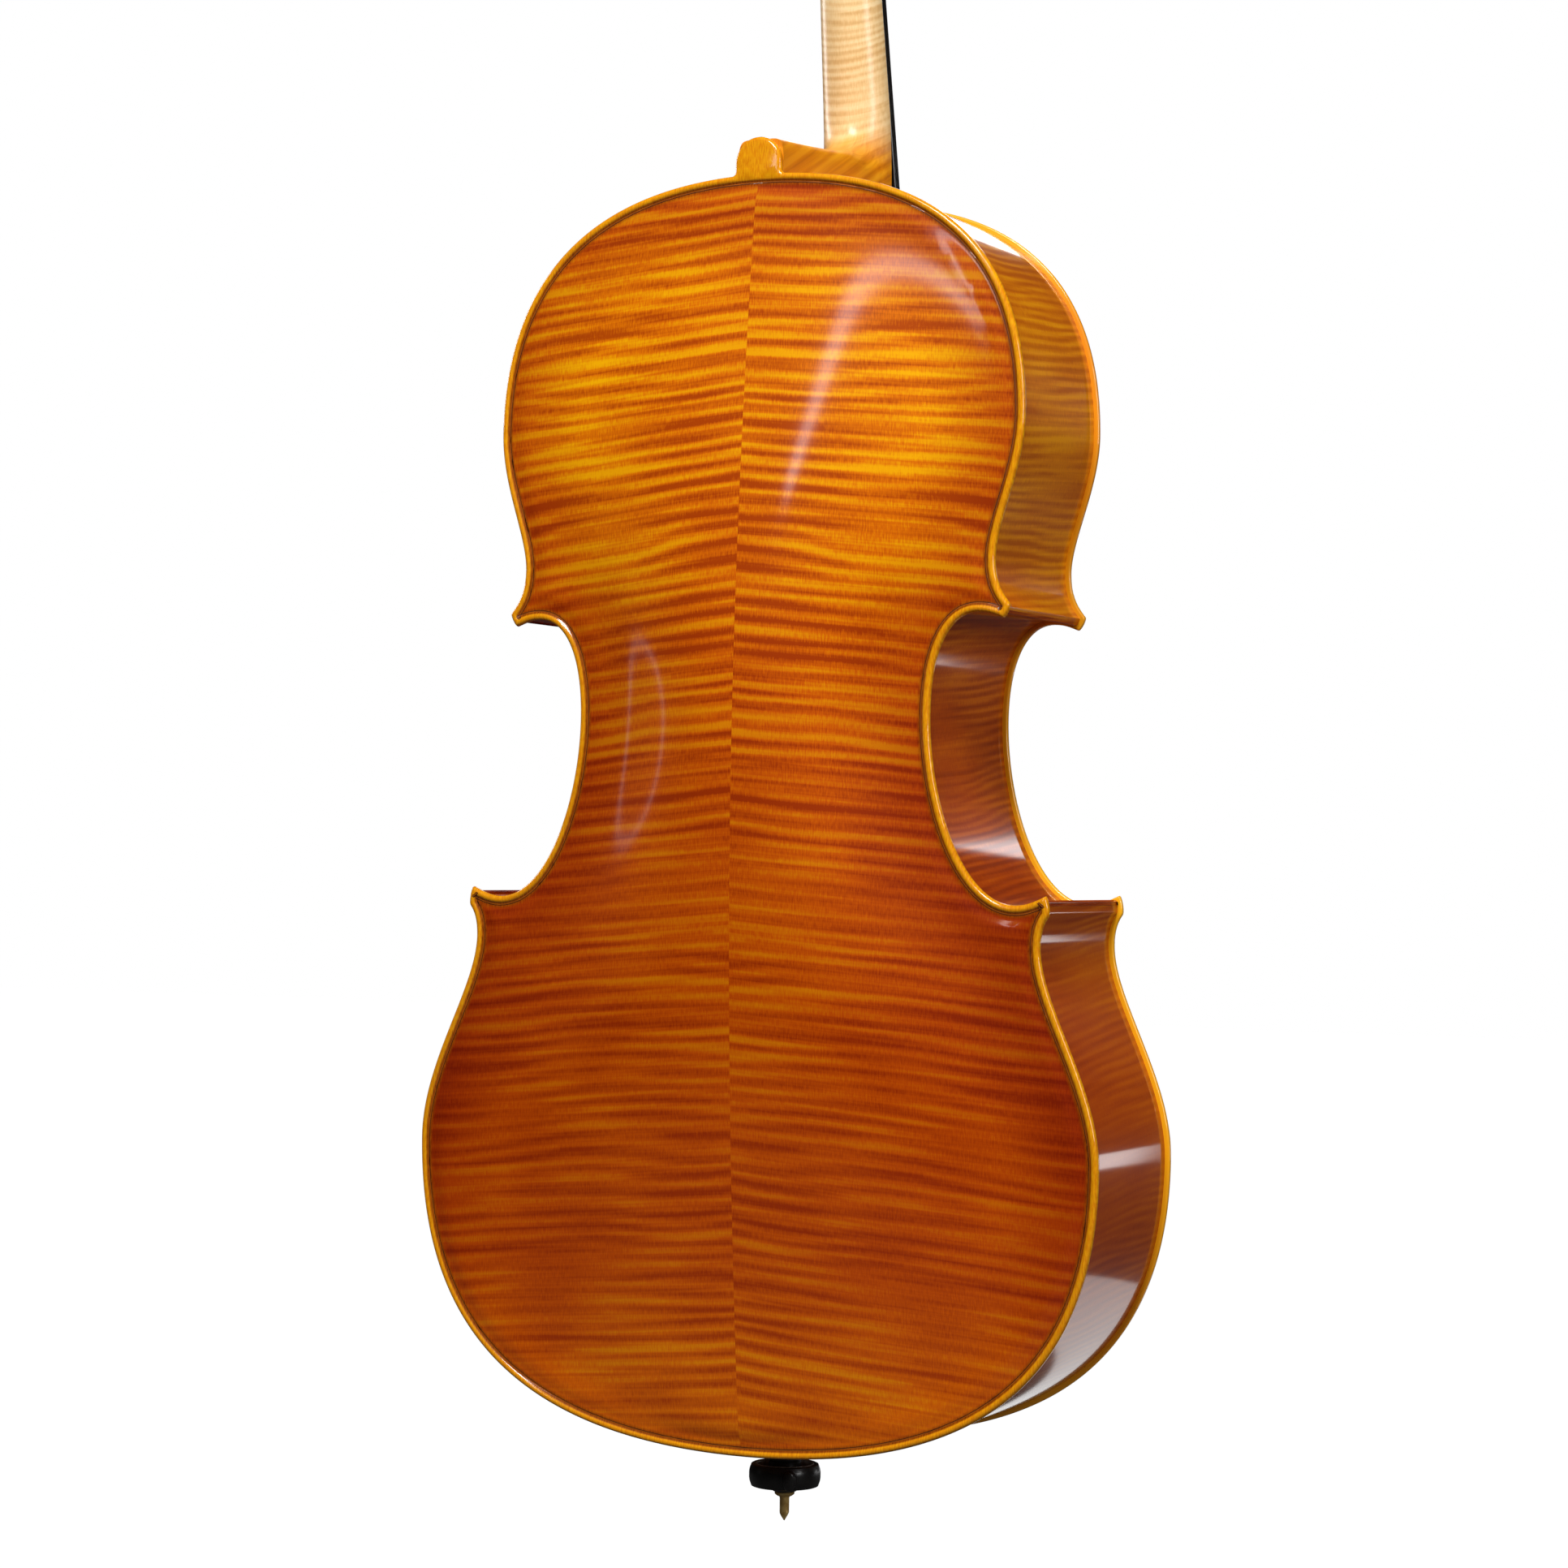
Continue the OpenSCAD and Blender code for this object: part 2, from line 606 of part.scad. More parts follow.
// The bridge drawn flat as [x, height above its feet]
module bridge_face() {
    tall = belly_y - bridge_y;
    crown = [for (k = [-8:8]) let (x = 33 * k / 8) [x, tall - bridge_drop(x)
        - rest_gap - string_radii[x > 0 ? 0 : 3] * abs(x) / 33 - 0.5]];
    half = concat([[33, tall - 12], [38, tall - 24], [31, tall - 38], [33, 34], [45, 18], [47, 5]],
        [for (x = [46, 40, 34, 29, 24]) [x, foot_level(x)]], [[22, 6], [14, 17]]);
    difference() {
        polygon(concat(crown, half, mirrored(half)));
        translate([0, tall * 0.52]) circle(7);
        for (side = [-1, 1]) translate([side * 24, tall * 0.56]) circle(8);
    }
}
module bridge() lift() color(bare_maple) translate([0, belly_y, bridge_z]) intersection() {
    translate([0, 0, -bridge_foot_z]) mirror([0, 1, 0])
        linear_extrude(2 * bridge_foot_z) bridge_face();
    across(120) polygon([[4, -bridge_foot_z], [4, bridge_foot_z],
        [bridge_y - belly_y - 2, bridge_top_z], [bridge_y - belly_y - 2, -bridge_top_z]]);
}

// ---- Tailpiece and fine tuners ----

// Heights on the tailpiece are measured up from the saddle
tail_ends = [20, 245];
tail_half = [14, 28];
tail_back = 5;
tail_front = 1;
tail_crown = 4.5;
ball_height = 235;
tuner_string_drop = -2;
pivot_height = 230;
pivot_back = 3;
pin_radius = 1.2;
screw_height = 211;
screw_radius = 1.5;
screw_ends = [-12, 3.2];
thread_gap = 0.06;
lever_width = 5.6;
slot_width = 6.4;
knob_radius = 4.6;
knob_ends = [-15, -8.6];
cord_radius = 1.6;
cord_x = 7.5;

function tail_half_at(z) = tail_half[0]
    + (tail_half[1] - tail_half[0]) * (z - tail_ends[0]) / (tail_ends[1] - tail_ends[0]);

// Stands a cylinder along the tailpiece's y between two values
module through_tail(x, z, r, from, to) translate([x, to, z]) rotate([90, 0, 0])
    cylinder(r = r, h = to - from);

module tailpiece() lift() color(ebony) tail_frame() difference() {
    loft([for (i = [0:6]) let (z = tail_ends[0] + (tail_ends[1] - tail_ends[0]) * i / 6,
            half = tail_half_at(z))
        concat([[half, tail_back, z], [-half, tail_back, z]], [for (k = [-5:5])
            [half * k / 5, -tail_front - tail_crown * (1 - k * k / 25), z]])]);
    for (x = tail_x) {
        translate([x - slot_width / 2, -20, pivot_height - 5]) cube([slot_width, 40, 40]);
        translate([x - slot_width / 2, -1, screw_height - 8]) cube([slot_width, 20, 40]);
        through_tail(x, screw_height, screw_radius + thread_gap, -20, 5);
    }
    translate([-40, pivot_back, pivot_height]) rotate([0, 90, 0])
        cylinder(r = pin_radius + wall_gap, h = 80);
}

module tuner_pivot_pin() lift() color(steel) tail_frame()
    translate([-26, pivot_back, pivot_height]) rotate([0, 90, 0]) cylinder(r = pin_radius, h = 52);

// A lever whose fork holds the string's ball, and whose tail the screw pushes back
module lever(i) lift() color(steel) tail_frame() translate([tail_x[i], 0, 0]) difference() {
    across(lever_width) polygon([[1.5, 227], [1.5, 237.8], [-6, 237.8], [-6, 242], [5, 242],
        [6.5, 236], [6.5, screw_height - 5], [3.5, screw_height - 5], [3.5, 222]]);
    translate([-1.3, -7, 237]) cube([2.6, 8, 6]);
    translate([-5, pivot_back, pivot_height]) rotate([0, 90, 0])
        cylinder(r = pin_radius + peg_gap, h = 10);
}
module tuner_lever_a() lever(0);
module tuner_lever_d() lever(1);
module tuner_lever_g() lever(2);
module tuner_lever_c() lever(3);

module tuner_screw(i) lift() color(steel) tail_frame()
    through_tail(tail_x[i], screw_height, screw_radius, screw_ends[0], screw_ends[1]);
module tuner_screw_a() tuner_screw(0);
module tuner_screw_d() tuner_screw(1);
module tuner_screw_g() tuner_screw(2);
module tuner_screw_c() tuner_screw(3);

module tuner_knob(i) lift() color(steel) tail_frame() difference() {
    through_tail(tail_x[i], screw_height, knob_radius, knob_ends[0], knob_ends[1]);
    through_tail(tail_x[i], screw_height, screw_radius + thread_gap, screw_ends[0] - 0.3, 0);
}
module tuner_knob_a() tuner_knob(0);
module tuner_knob_d() tuner_knob(1);
module tuner_knob_g() tuner_knob(2);
module tuner_knob_c() tuner_knob(3);

// ---- Saddle and tail cord ----

module saddle() lift() color(ebony) across(heel_front_width) polygon([[-rib_half, 0],
    [-rib_half, saddle_height], [saddle_y + 3.5, saddle_height], [saddle_y + 2, 6.5],
    [saddle_y + 2.3, 4], [saddle_y + 5, 1.5], [saddle_y + 9, 0]]);

// The cord runs from the tailpiece over the saddle and round the neck of the endpin's plug
cord_loop = plug_radius + cord_radius + 0.1;
cord_loop_z = -6.5;
module tail_cord() lift() color(ebony) {
    run = [from_tail([cord_x, 0, tail_ends[0] - rest_gap]), [cord_x, saddle_y, saddle_z],
        [8.5, -rib_half - 3, -4.5], [cord_loop, 0, cord_loop_z]];
    path = concat(run,
        [for (a = [15:15:165]) [cord_loop * cos(a), cord_loop * sin(a), cord_loop_z]],
        [for (k = [3:-1:0]) [-run[k][0], run[k][1], run[k][2]]]);
    tube(path, [for (p = path) cord_radius], [0, 0.6, 1]);
}

// ---- Endpin ----

rod_radius = rod_diameter / 2;
rod_gap = 0.05;
plug_ends = [-10, 34];
hoop_radius = hoop_diameter / 2;
hoop_ends = [-25.5, -12];
hoop_lip = 2;
hoop_wall = 2.6;
hoop_bevel = 4;
hub_bottom = -28.6;
web_width = 12;
web_recess = 0.6;
web_reach = hoop_radius - 3.2;
clamp_turn = 32;
clamp_z = -19;
clamp_radius = 2;
rod_bottom = -29;
tip_bottom = -edge_above_tip;

module rod_bore() translate([0, 0, -50]) cylinder(r = rod_radius + rod_gap, h = 120);

module endpin_plug() lift() color(ebony) difference() {
    translate([0, 0, plug_ends[0]]) cylinder(r = plug_radius, h = plug_ends[1] - plug_ends[0]);
    rod_bore();
}

// Turns a shape so that its +Y lies along the thumbscrew
module clamp_frame() translate([0, 0, clamp_z]) rotate([0, 0, clamp_turn]) children();

module endpin_collar() lift() color(ebony) difference() {
    union() {
        rotate_extrude() polygon([
            [hoop_radius - hoop_lip, hoop_ends[0]], [hoop_radius, hoop_ends[0] + hoop_bevel],
            [hoop_radius, hoop_ends[1] - hoop_bevel], [hoop_radius - hoop_lip, hoop_ends[1]],
            [hoop_radius - hoop_lip - hoop_wall, hoop_ends[1]],
            [hoop_radius - hoop_lip - hoop_wall, hoop_ends[0]]]);
        rotate_extrude() polygon([[0, plug_ends[0]], [plug_radius, plug_ends[0]],
            [plug_radius, hoop_ends[0] + 1], [7.5, hub_bottom], [0, hub_bottom]]);
        clamp_frame() translate([-web_width / 2, -web_reach, hoop_ends[0] + web_recess - clamp_z])
            cube([web_width, 2 * web_reach, hoop_ends[1] - hoop_ends[0] - 2 * web_recess]);
    }
    rod_bore();
    clamp_frame() rotate([-90, 0, 0]) cylinder(r = clamp_radius + rod_gap, h = 40);
}

module endpin_thumbscrew() lift() color(ebony) clamp_frame() rotate([-90, 0, 0]) {
    translate([0, 0, rod_radius + 0.15]) cylinder(r = clamp_radius, h = hoop_radius - hoop_lip);
    translate([0, 0, hoop_radius + 0.6]) linear_extrude(4.5)
        polygon([for (a = [0:15:345]) [3.8 * cos(a), 6.2 * sin(a)]]);
}

module endpin_rod() lift() color(steel) translate([0, 0, rod_bottom])
    cylinder(r = rod_radius, h = rod_length);

// A bevelled ferrule, a round shank, and a flattened point
shank_radius = 2.9;
module endpin_tip() lift() color(brass) translate([0, 0, tip_bottom]) {
    rotate_extrude() polygon([[0, 0], [shank_radius, 0], [shank_radius, 9], [4.4, 9.6],
        [6, 10.6], [6, rod_bottom - tip_bottom], [0, rod_bottom - tip_bottom]]);
    rotate_extrude() polygon([[0, 0], [shank_radius, 0], [3.05, -0.9], [0.7, -5], [0, -5.4]]);
}

back_plate_treble();
back_plate_bass();
top_plate_treble();
top_plate_bass();
back_purfling();
top_purfling();
lower_rib_treble();
lower_rib_bass();
waist_rib_treble();
waist_rib_bass();
upper_rib_treble();
upper_rib_bass();
back_linings();
top_linings();
neck_block();
end_block();
lower_corner_blocks();
upper_corner_blocks();
bass_bar();
sound_post();
neck();
pegbox_and_scroll();
fingerboard();
nut();
saddle();
bridge();
tailpiece();
tuner_pivot_pin();
tail_cord();
string_a();
string_d();
string_g();
string_c();
winding_a();
winding_d();
winding_g();
winding_c();
peg_a();
peg_d();
peg_g();
peg_c();
tuner_lever_a();
tuner_lever_d();
tuner_lever_g();
tuner_lever_c();
tuner_screw_a();
tuner_screw_d();
tuner_screw_g();
tuner_screw_c();
tuner_knob_a();
tuner_knob_d();
tuner_knob_g();
tuner_knob_c();
endpin_plug();
endpin_collar();
endpin_thumbscrew();
endpin_rod();
endpin_tip();
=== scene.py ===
from math import atan2, cos, exp, pi, radians, sin, sqrt

import bmesh
import bpy
import numpy as np
from mathutils import Matrix, Vector, geometry


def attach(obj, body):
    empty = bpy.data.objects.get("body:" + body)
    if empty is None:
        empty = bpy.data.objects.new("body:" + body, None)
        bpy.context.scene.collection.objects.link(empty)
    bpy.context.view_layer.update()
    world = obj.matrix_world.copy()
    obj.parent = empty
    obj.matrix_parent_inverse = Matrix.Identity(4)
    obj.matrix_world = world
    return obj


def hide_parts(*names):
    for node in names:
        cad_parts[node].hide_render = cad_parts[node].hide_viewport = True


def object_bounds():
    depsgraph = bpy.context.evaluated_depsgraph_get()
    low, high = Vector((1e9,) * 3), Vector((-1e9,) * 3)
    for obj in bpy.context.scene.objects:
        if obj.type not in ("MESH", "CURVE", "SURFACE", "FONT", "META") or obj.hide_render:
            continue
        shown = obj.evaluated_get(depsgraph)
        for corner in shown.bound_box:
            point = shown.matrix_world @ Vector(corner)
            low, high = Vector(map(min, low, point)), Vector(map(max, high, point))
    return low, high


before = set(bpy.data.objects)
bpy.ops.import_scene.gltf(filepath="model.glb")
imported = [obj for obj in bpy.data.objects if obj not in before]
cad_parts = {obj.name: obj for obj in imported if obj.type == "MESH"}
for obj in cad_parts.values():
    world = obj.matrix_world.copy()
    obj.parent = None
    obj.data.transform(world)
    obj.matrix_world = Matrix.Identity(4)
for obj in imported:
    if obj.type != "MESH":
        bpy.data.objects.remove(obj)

cad_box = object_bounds()

MM = 0.001
EDGE_ABOVE_TIP = 41

# ---- Driving dimensions, the same as the part's ----

BODY = 755
HALF_LOW, HALF_WAIST, HALF_UP = 221.5, 114.5, 171.5
RIB_HALF = 57
PLATE = 4.5
OVERHANG, RIB_THICK = 3, 1.8
ARCH_BACK, ARCH_TOP = 24, 25
BUTTON_HALF, BUTTON_TOP = 15, 777
PURFLING_INSET, PURFLING_WIDTH = 4.5, 1.4
STRINGS = "adgc"

NECK_LENGTH, NECK_TILT, HEAD_TILT = 283, radians(8.8), radians(12)
BOARD_LENGTH, NUT_WIDTH, BOARD_WIDTH = 588, 32, 63
BOARD_Y = -RIB_HALF - 31
BOARD_SIDE, BOARD_RADIUS = 7, 62
NECK_DEPTH = (21, 18.5)
HEEL_BOTTOM, HEEL_THROAT, HEEL_FRONT_HALF = 741, 60, 21
SADDLE_HEIGHT = 9

BRIDGE_Z = BODY - 400
BRIDGE_Y = -RIB_HALF - 116
BRIDGE_RADIUS = 65
STRING_RADII = (0.4, 0.5, 0.7, 0.95)
BRIDGE_X = (24, 8, -8, -24)
BRIDGE_FOOT_X, BRIDGE_FOOT_Z, BRIDGE_GAP = 38, 5.4, 0.15
NUT_X = (11, 3.7, -3.7, -11)
TAIL_X = (21, 7, -7, -21)
BALL_DROP = 0.22

PEG_HEIGHTS = (30, 94, 122, 58)
PEG_SIDES = (1, 1, -1, -1)
PEG_DEPTH, PEG_TAPER, PEG_REACH = 14, (7.2, 5.6), (24, 25)
COIL_X, COIL_TURNS, COIL_PITCH = (3, 2, 2, 3), 5, 2.1

SADDLE_Y, SADDLE_Z = -RIB_HALF - 14.5, 2
TAIL_TILT = atan2(SADDLE_Y - BRIDGE_Y, BRIDGE_Z - SADDLE_Z)
TAIL_ENDS, TAIL_HALF = (20, 245), (14, 28)
SCREW_HEIGHT, PIVOT_HEIGHT, BALL_HEIGHT = 211, 230, 235

PLUG_RADIUS, ROD_RADIUS = 10, 5
CLAMP_TURN, CLAMP_Z = radians(32), -19
SPEAR_TURN = 0.3
SHELF_RISE = 8
ENDPIN_TRAVEL = 0.35
ROD_ENDS = (-29, 441)


# ---- Frames of the neck, the head and the tailpiece ----

def turn(points, angle):
    """Turns points about the x axis."""
    x, y, z = np.asarray(points, float).T
    return np.stack([x, y * cos(angle) - z * sin(angle), y * sin(angle) + z * cos(angle)], -1)


def from_neck(points):
    return turn(points, -NECK_TILT) + (0, BOARD_Y, BODY)


def from_head(points):
    return from_neck(turn(points, -HEAD_TILT) + (0, 0, NECK_LENGTH))


def from_tail(points):
    return turn(points, TAIL_TILT) + (0, SADDLE_Y, SADDLE_Z)


def in_frame(points):
    """Body millimetres to the shared frame's metres."""
    return (np.asarray(points, float) + (0, 0, EDGE_ABOVE_TIP)) * MM


# ---- Mesh tools ----

def smooth(t):
    t = np.clip(t, 0, 1)
    return t * t * (3 - 2 * t)


def bezier(a, b, c, d, n):
    """Points of a Bezier curve, without its first point."""
    t = (np.arange(n) + 1)[:, None] / n
    a, b, c, d = (np.asarray(p, float) for p in (a, b, c, d))
    return a * (1 - t) ** 3 + 3 * b * t * (1 - t) ** 2 + 3 * c * t * t * (1 - t) + d * t ** 3


def unit(v):
    return v / np.linalg.norm(v)


class Shape:
    """Points and faces that grow shell by shell, with a material number for each face."""

    def __init__(self):
        self.points, self.faces, self.paint = [], [], []

    def add(self, points, faces, paint=0):
        start = len(self.points)
        self.points.extend(map(tuple, points))
        self.faces.extend([tuple(start + i for i in face) for face in faces])
        self.paint.extend([paint] * len(faces))
        return self

    def loft(self, rings, paint=0):
        """A closed skin through rings that hold the same number of points."""
        rings = np.asarray(rings, float)
        count, n = rings.shape[:2]
        faces = [(i * n + j, i * n + (j + 1) % n, (i + 1) * n + (j + 1) % n, (i + 1) * n + j)
                 for i in range(count - 1) for j in range(n)]
        faces += [tuple(range(n - 1, -1, -1)), tuple((count - 1) * n + j for j in range(n))]
        return self.add(rings.reshape(-1, 3), faces, paint)

    def tube(self, path, radii, sides=12, paint=0):
        """A round tube along a path."""
        path = np.asarray(path, float)
        radii = np.broadcast_to(radii, len(path))
        tangents = np.gradient(path, axis=0)
        side = unit(np.cross(tangents[0], (0.31, 0.17, 0.93)))
        rings = []
        for point, tangent, radius in zip(path, tangents, radii):
            way = unit(tangent)
            side = unit(side - way * side.dot(way))
            other = np.cross(way, side)
            rings.append([point + radius * (cos(a) * side + sin(a) * other)
                          for a in np.arange(sides) * 2 * pi / sides])
        return self.loft(rings, paint)

    def lathe(self, profile, frame_of, sides=48, paint=0, flutes=0, flute_depth=0.0, fluted=()):
        """A turned shape. profile holds (radius, height) pairs and frame_of places local points."""
        angles = np.arange(sides) * 2 * pi / sides
        rings = []
        for i, (radius, height) in enumerate(profile):
            r = radius - (flute_depth * (1 + np.cos(flutes * angles)) / 2 if i in fluted else 0)
            rings.append(frame_of(np.stack([r * np.cos(angles), r * np.sin(angles),
                                            np.full(sides, float(height))], -1)))
        return self.loft(rings, paint)


def along_x(centre, side, place):
    """Places a turned shape's axis along +X or -X, through a centre, in some frame."""
    def frame_of(p):
        return place(np.stack([p[:, 2] * side, p[:, 0], p[:, 1] * side], -1) + centre)
    return frame_of


def link(mesh, name):
    obj = bpy.data.objects.new(name, mesh)
    bpy.context.scene.collection.objects.link(obj)
    return obj


def piece(name, shape, finishes, nodes, body="root", bevel=0, sharp=40, values=None):
    """Makes one piece from a shape, paints it, ties it to its body and hides the nodes it stands for."""
    mesh = bpy.data.meshes.new(name)
    mesh.from_pydata(in_frame(shape.points).tolist(), [], shape.faces)
    for key, numbers in (values or {}).items():
        mesh.attributes.new(key, "FLOAT", "POINT").data.foreach_set(
            "value", np.asarray(numbers, np.float32))
    mesh.polygons.foreach_set("material_index", np.array(shape.paint, np.int32))
    for finish in finishes:
        mesh.materials.append(finish)
    shell = bmesh.new()
    shell.from_mesh(mesh)
    bmesh.ops.remove_doubles(shell, verts=shell.verts, dist=2e-6)
    bmesh.ops.recalc_face_normals(shell, faces=shell.faces)
    if bevel:
        edges = [e for e in shell.edges if len(e.link_faces) == 2 and e.calc_face_angle() > radians(sharp)]
        bmesh.ops.bevel(shell, geom=edges, offset=bevel * MM, offset_type="OFFSET", segments=3,
                        profile=0.5, affect="EDGES", clamp_overlap=True)
    shell.to_mesh(mesh)
    shell.free()
    mesh.shade_smooth()
    mesh.set_sharp_from_angle(angle=radians(sharp))
    obj = link(mesh, name)
    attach(obj, body)
    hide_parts(*nodes)
    return obj


# ---- Materials ----

def linear(colour):
    """A colour written as 0 to 255 becomes linear."""
    def channel(v):
        v /= 255
        return v / 12.92 if v <= 0.04045 else ((v + 0.055) / 1.055) ** 2.4
    return tuple(channel(v) for v in colour) + (1,)


class Finish:
    """A node-based material, built link by link."""

    def __init__(self, name, roughness=0.4, metallic=0.0, coat=0.0, coat_roughness=0.05, specular=0.5):
        self.material = bpy.data.materials.new(name)
        self.material.use_nodes = True
        self.tree = self.material.node_tree
        self.shader = self.tree.nodes["Principled BSDF"]
        for key, value in {"Roughness": roughness, "Metallic": metallic, "Coat Weight": coat,
                           "Coat Roughness": coat_roughness, "Specular IOR Level": specular}.items():
            self.shader.inputs[key].default_value = value

    def node(self, kind, inputs=None, **settings):
        made = self.tree.nodes.new(kind)
        for key, value in settings.items():
            setattr(made, key, value)
        for key, value in (inputs or {}).items():
            if isinstance(value, bpy.types.NodeSocket):
                self.tree.links.new(value, made.inputs[key])
            else:
                made.inputs[key].default_value = value
        return made

    def maths(self, operation, a, b=0.0, c=0.0):
        return self.node("ShaderNodeMath", {0: a, 1: b, 2: c}, operation=operation).outputs[0]

    def value(self, name):
        """A number that each point of the mesh carries."""
        return self.node("ShaderNodeAttribute", attribute_name=name).outputs["Fac"]

    def place(self):
        """The point in the shared frame, in metres, as x, y and z."""
        spot = self.node("ShaderNodeTexCoord").outputs["Object"]
        return self.node("ShaderNodeSeparateXYZ", {0: spot}).outputs

    def join(self, x, y, z):
        return self.node("ShaderNodeCombineXYZ", {0: x, 1: y, 2: z}).outputs[0]

    def noise(self, vector, scale=1.0, detail=2.0, roughness=0.5, distortion=0.0):
        return self.node("ShaderNodeTexNoise", {"Vector": vector, "Scale": scale, "Detail": detail,
                         "Roughness": roughness, "Distortion": distortion}).outputs["Fac"]

    def ramp(self, factor, *stops):
        made = self.node("ShaderNodeValToRGB", {0: factor})
        elements = made.color_ramp.elements
        while len(elements) < len(stops):
            elements.new(0.5)
        for element, (position, colour) in zip(elements, stops):
            element.position = position
            element.color = linear(colour)
        return made.outputs[0]

    def between(self, value, low, high):
        """0 below low, 1 above high, smooth between."""
        return self.node("ShaderNodeMapRange", {"Value": value, "From Min": low, "From Max": high},
                         interpolation_type="SMOOTHSTEP").outputs[0]

    def mix(self, factor, a, b, blend="MIX"):
        made = self.node("ShaderNodeMix", data_type="RGBA", blend_type=blend)
        for socket, value in ((made.inputs[0], factor), (made.inputs[6], a), (made.inputs[7], b)):
            if isinstance(value, bpy.types.NodeSocket):
                self.tree.links.new(value, socket)
            else:
                socket.default_value = value
        return made.outputs[2]

    def colour(self, socket):
        self.tree.links.new(socket, self.shader.inputs["Base Color"])

    def roughness(self, socket):
        self.tree.links.new(socket, self.shader.inputs["Roughness"])

    def bump(self, height, strength, distance=0.0003, coat=False):
        made = self.node("ShaderNodeBump", {"Height": height, "Strength": strength, "Distance": distance})
        self.tree.links.new(made.outputs[0], self.shader.inputs["Normal"])
        if coat:
            self.tree.links.new(made.outputs[0], self.shader.inputs["Coat Normal"])


EDGE_GOLD = (255, 182, 14)
EDGE_AMBER = (232, 142, 4)
CHANNEL = (112, 44, 0)
CHANNEL_LIGHT = (168, 82, 2)
# Painted shade: the figure is painted fainter and darker low on the body, where less light falls. FADE holds
# the heights, in metres, between which it comes up, FAINT is its strength at the bottom and SHADE is how much
# darker it is painted there.
FADE = (0.2, 0.56)
FAINT = 0.7
SHADE = 0.05


def flame(finish, along, across, dark, middle, light, stripe, seed):
    """Bands of figure across the grain of maple, soft and uneven, with short flecks along the grain."""
    def field(along_mm, across_mm, shift, detail=2.0):
        spot = finish.join(finish.maths("MULTIPLY", along, 1 / along_mm),
                           finish.maths("MULTIPLY", across, 1 / across_mm), seed + shift)
        return finish.noise(spot, detail=detail)
    swing = finish.maths("MULTIPLY_ADD", field(150, 260, 0), 34, along)
    swing = finish.maths("MULTIPLY_ADD", field(26, 170, 2, 1.0), 11, swing)
    bands = finish.maths("SINE", finish.maths("MULTIPLY", swing, 2 * pi / stripe))
    depth = finish.between(field(60, 120, 4), 0.25, 0.6)
    fleck = field(4.5, 0.8, 6, 3.0)
    level = finish.maths("MULTIPLY_ADD", finish.maths("MULTIPLY", bands, depth), 0.15, 0.5)
    for share, layer in ((0.5, field(4.4, 190, 8)), (0.3, field(1.9, 70, 14)), (0.5, field(15, 150, 10)),
                         (0.5, field(46, 90, 12)), (0.48, fleck)):
        level = finish.maths("MULTIPLY_ADD", finish.maths("SUBTRACT", layer, 0.5), share, level)
    # Painted shade: the figure is made fainter and darker low on the body, where less light falls.
    light_falloff = finish.between(finish.place()[2], *FADE)
    strength = finish.maths("MULTIPLY_ADD", light_falloff, 1 - FAINT, FAINT)
    rest = finish.maths("MULTIPLY_ADD", light_falloff, SHADE, 0.5 - SHADE)
    level = finish.maths("MULTIPLY_ADD", finish.maths("SUBTRACT", level, 0.5), strength, rest)
    return finish.ramp(level, (0.27, dark), (0.5, middle), (0.72, light)), fleck


def varnished_maple(name, stripe, seed, dark, middle, light, has_edge):
    """Golden-brown oil varnish over flamed maple, worn to gold on the plate's edge."""
    finish = Finish(name, roughness=0.42, coat=0.9, coat_roughness=0.085, specular=0.08)
    along, across = finish.value("along"), finish.value("across")
    x, y, z = finish.place()
    wood, fleck = flame(finish, along, across, dark, middle, light, stripe, seed)
    cloud = finish.noise(finish.join(finish.maths("MULTIPLY", x, 5), finish.maths("MULTIPLY", y, 5),
                                     finish.maths("MULTIPLY", z, 3.2)), detail=2)
    wood = finish.mix(0.6, wood, finish.ramp(cloud, (0.36, (226, 190, 140)), (0.62, (255, 255, 255))),
                      "MULTIPLY")
    # Painted shade: the wood is multiplied darker and more orange low on the body, where less light falls,
    # and keeps its full colour high up.
    height = finish.ramp(z, (0.05, (255, 240, 70)), (0.15, (222, 178, 44)), (0.3, (208, 160, 50)),
                         (0.49, (238, 210, 100)),
                         (0.58, (255, 248, 200)), (0.74, (255, 255, 255)))
    wood = finish.mix(1.0, wood, height, "MULTIPLY")
    if has_edge:
        edge = finish.value("edge")
        rim = finish.ramp(finish.maths("MULTIPLY", edge, 0.01),
                          (0.08, (214, 180, 150)), (0.6, (255, 255, 255)))
        wood = finish.mix(finish.between(z, 0.04, 0.2), wood, rim, "MULTIPLY")
        wander = finish.maths("MULTIPLY_ADD", cloud, 1.2, finish.maths("SUBTRACT", edge, 0.6))
        worn = finish.mix(0.72, wood, finish.ramp(fleck, (0.35, EDGE_AMBER), (0.65, EDGE_GOLD)))
        gutter = finish.ramp(fleck, (0.3, CHANNEL), (0.7, CHANNEL_LIGHT))
        wood = finish.mix(finish.between(wander, 5.4, 8.2), gutter, wood)
        wood = finish.mix(finish.between(edge, 3.2, 4.4), worn, wood)
    finish.colour(wood)
    finish.bump(fleck, 0.12, 0.00012)
    return finish.material


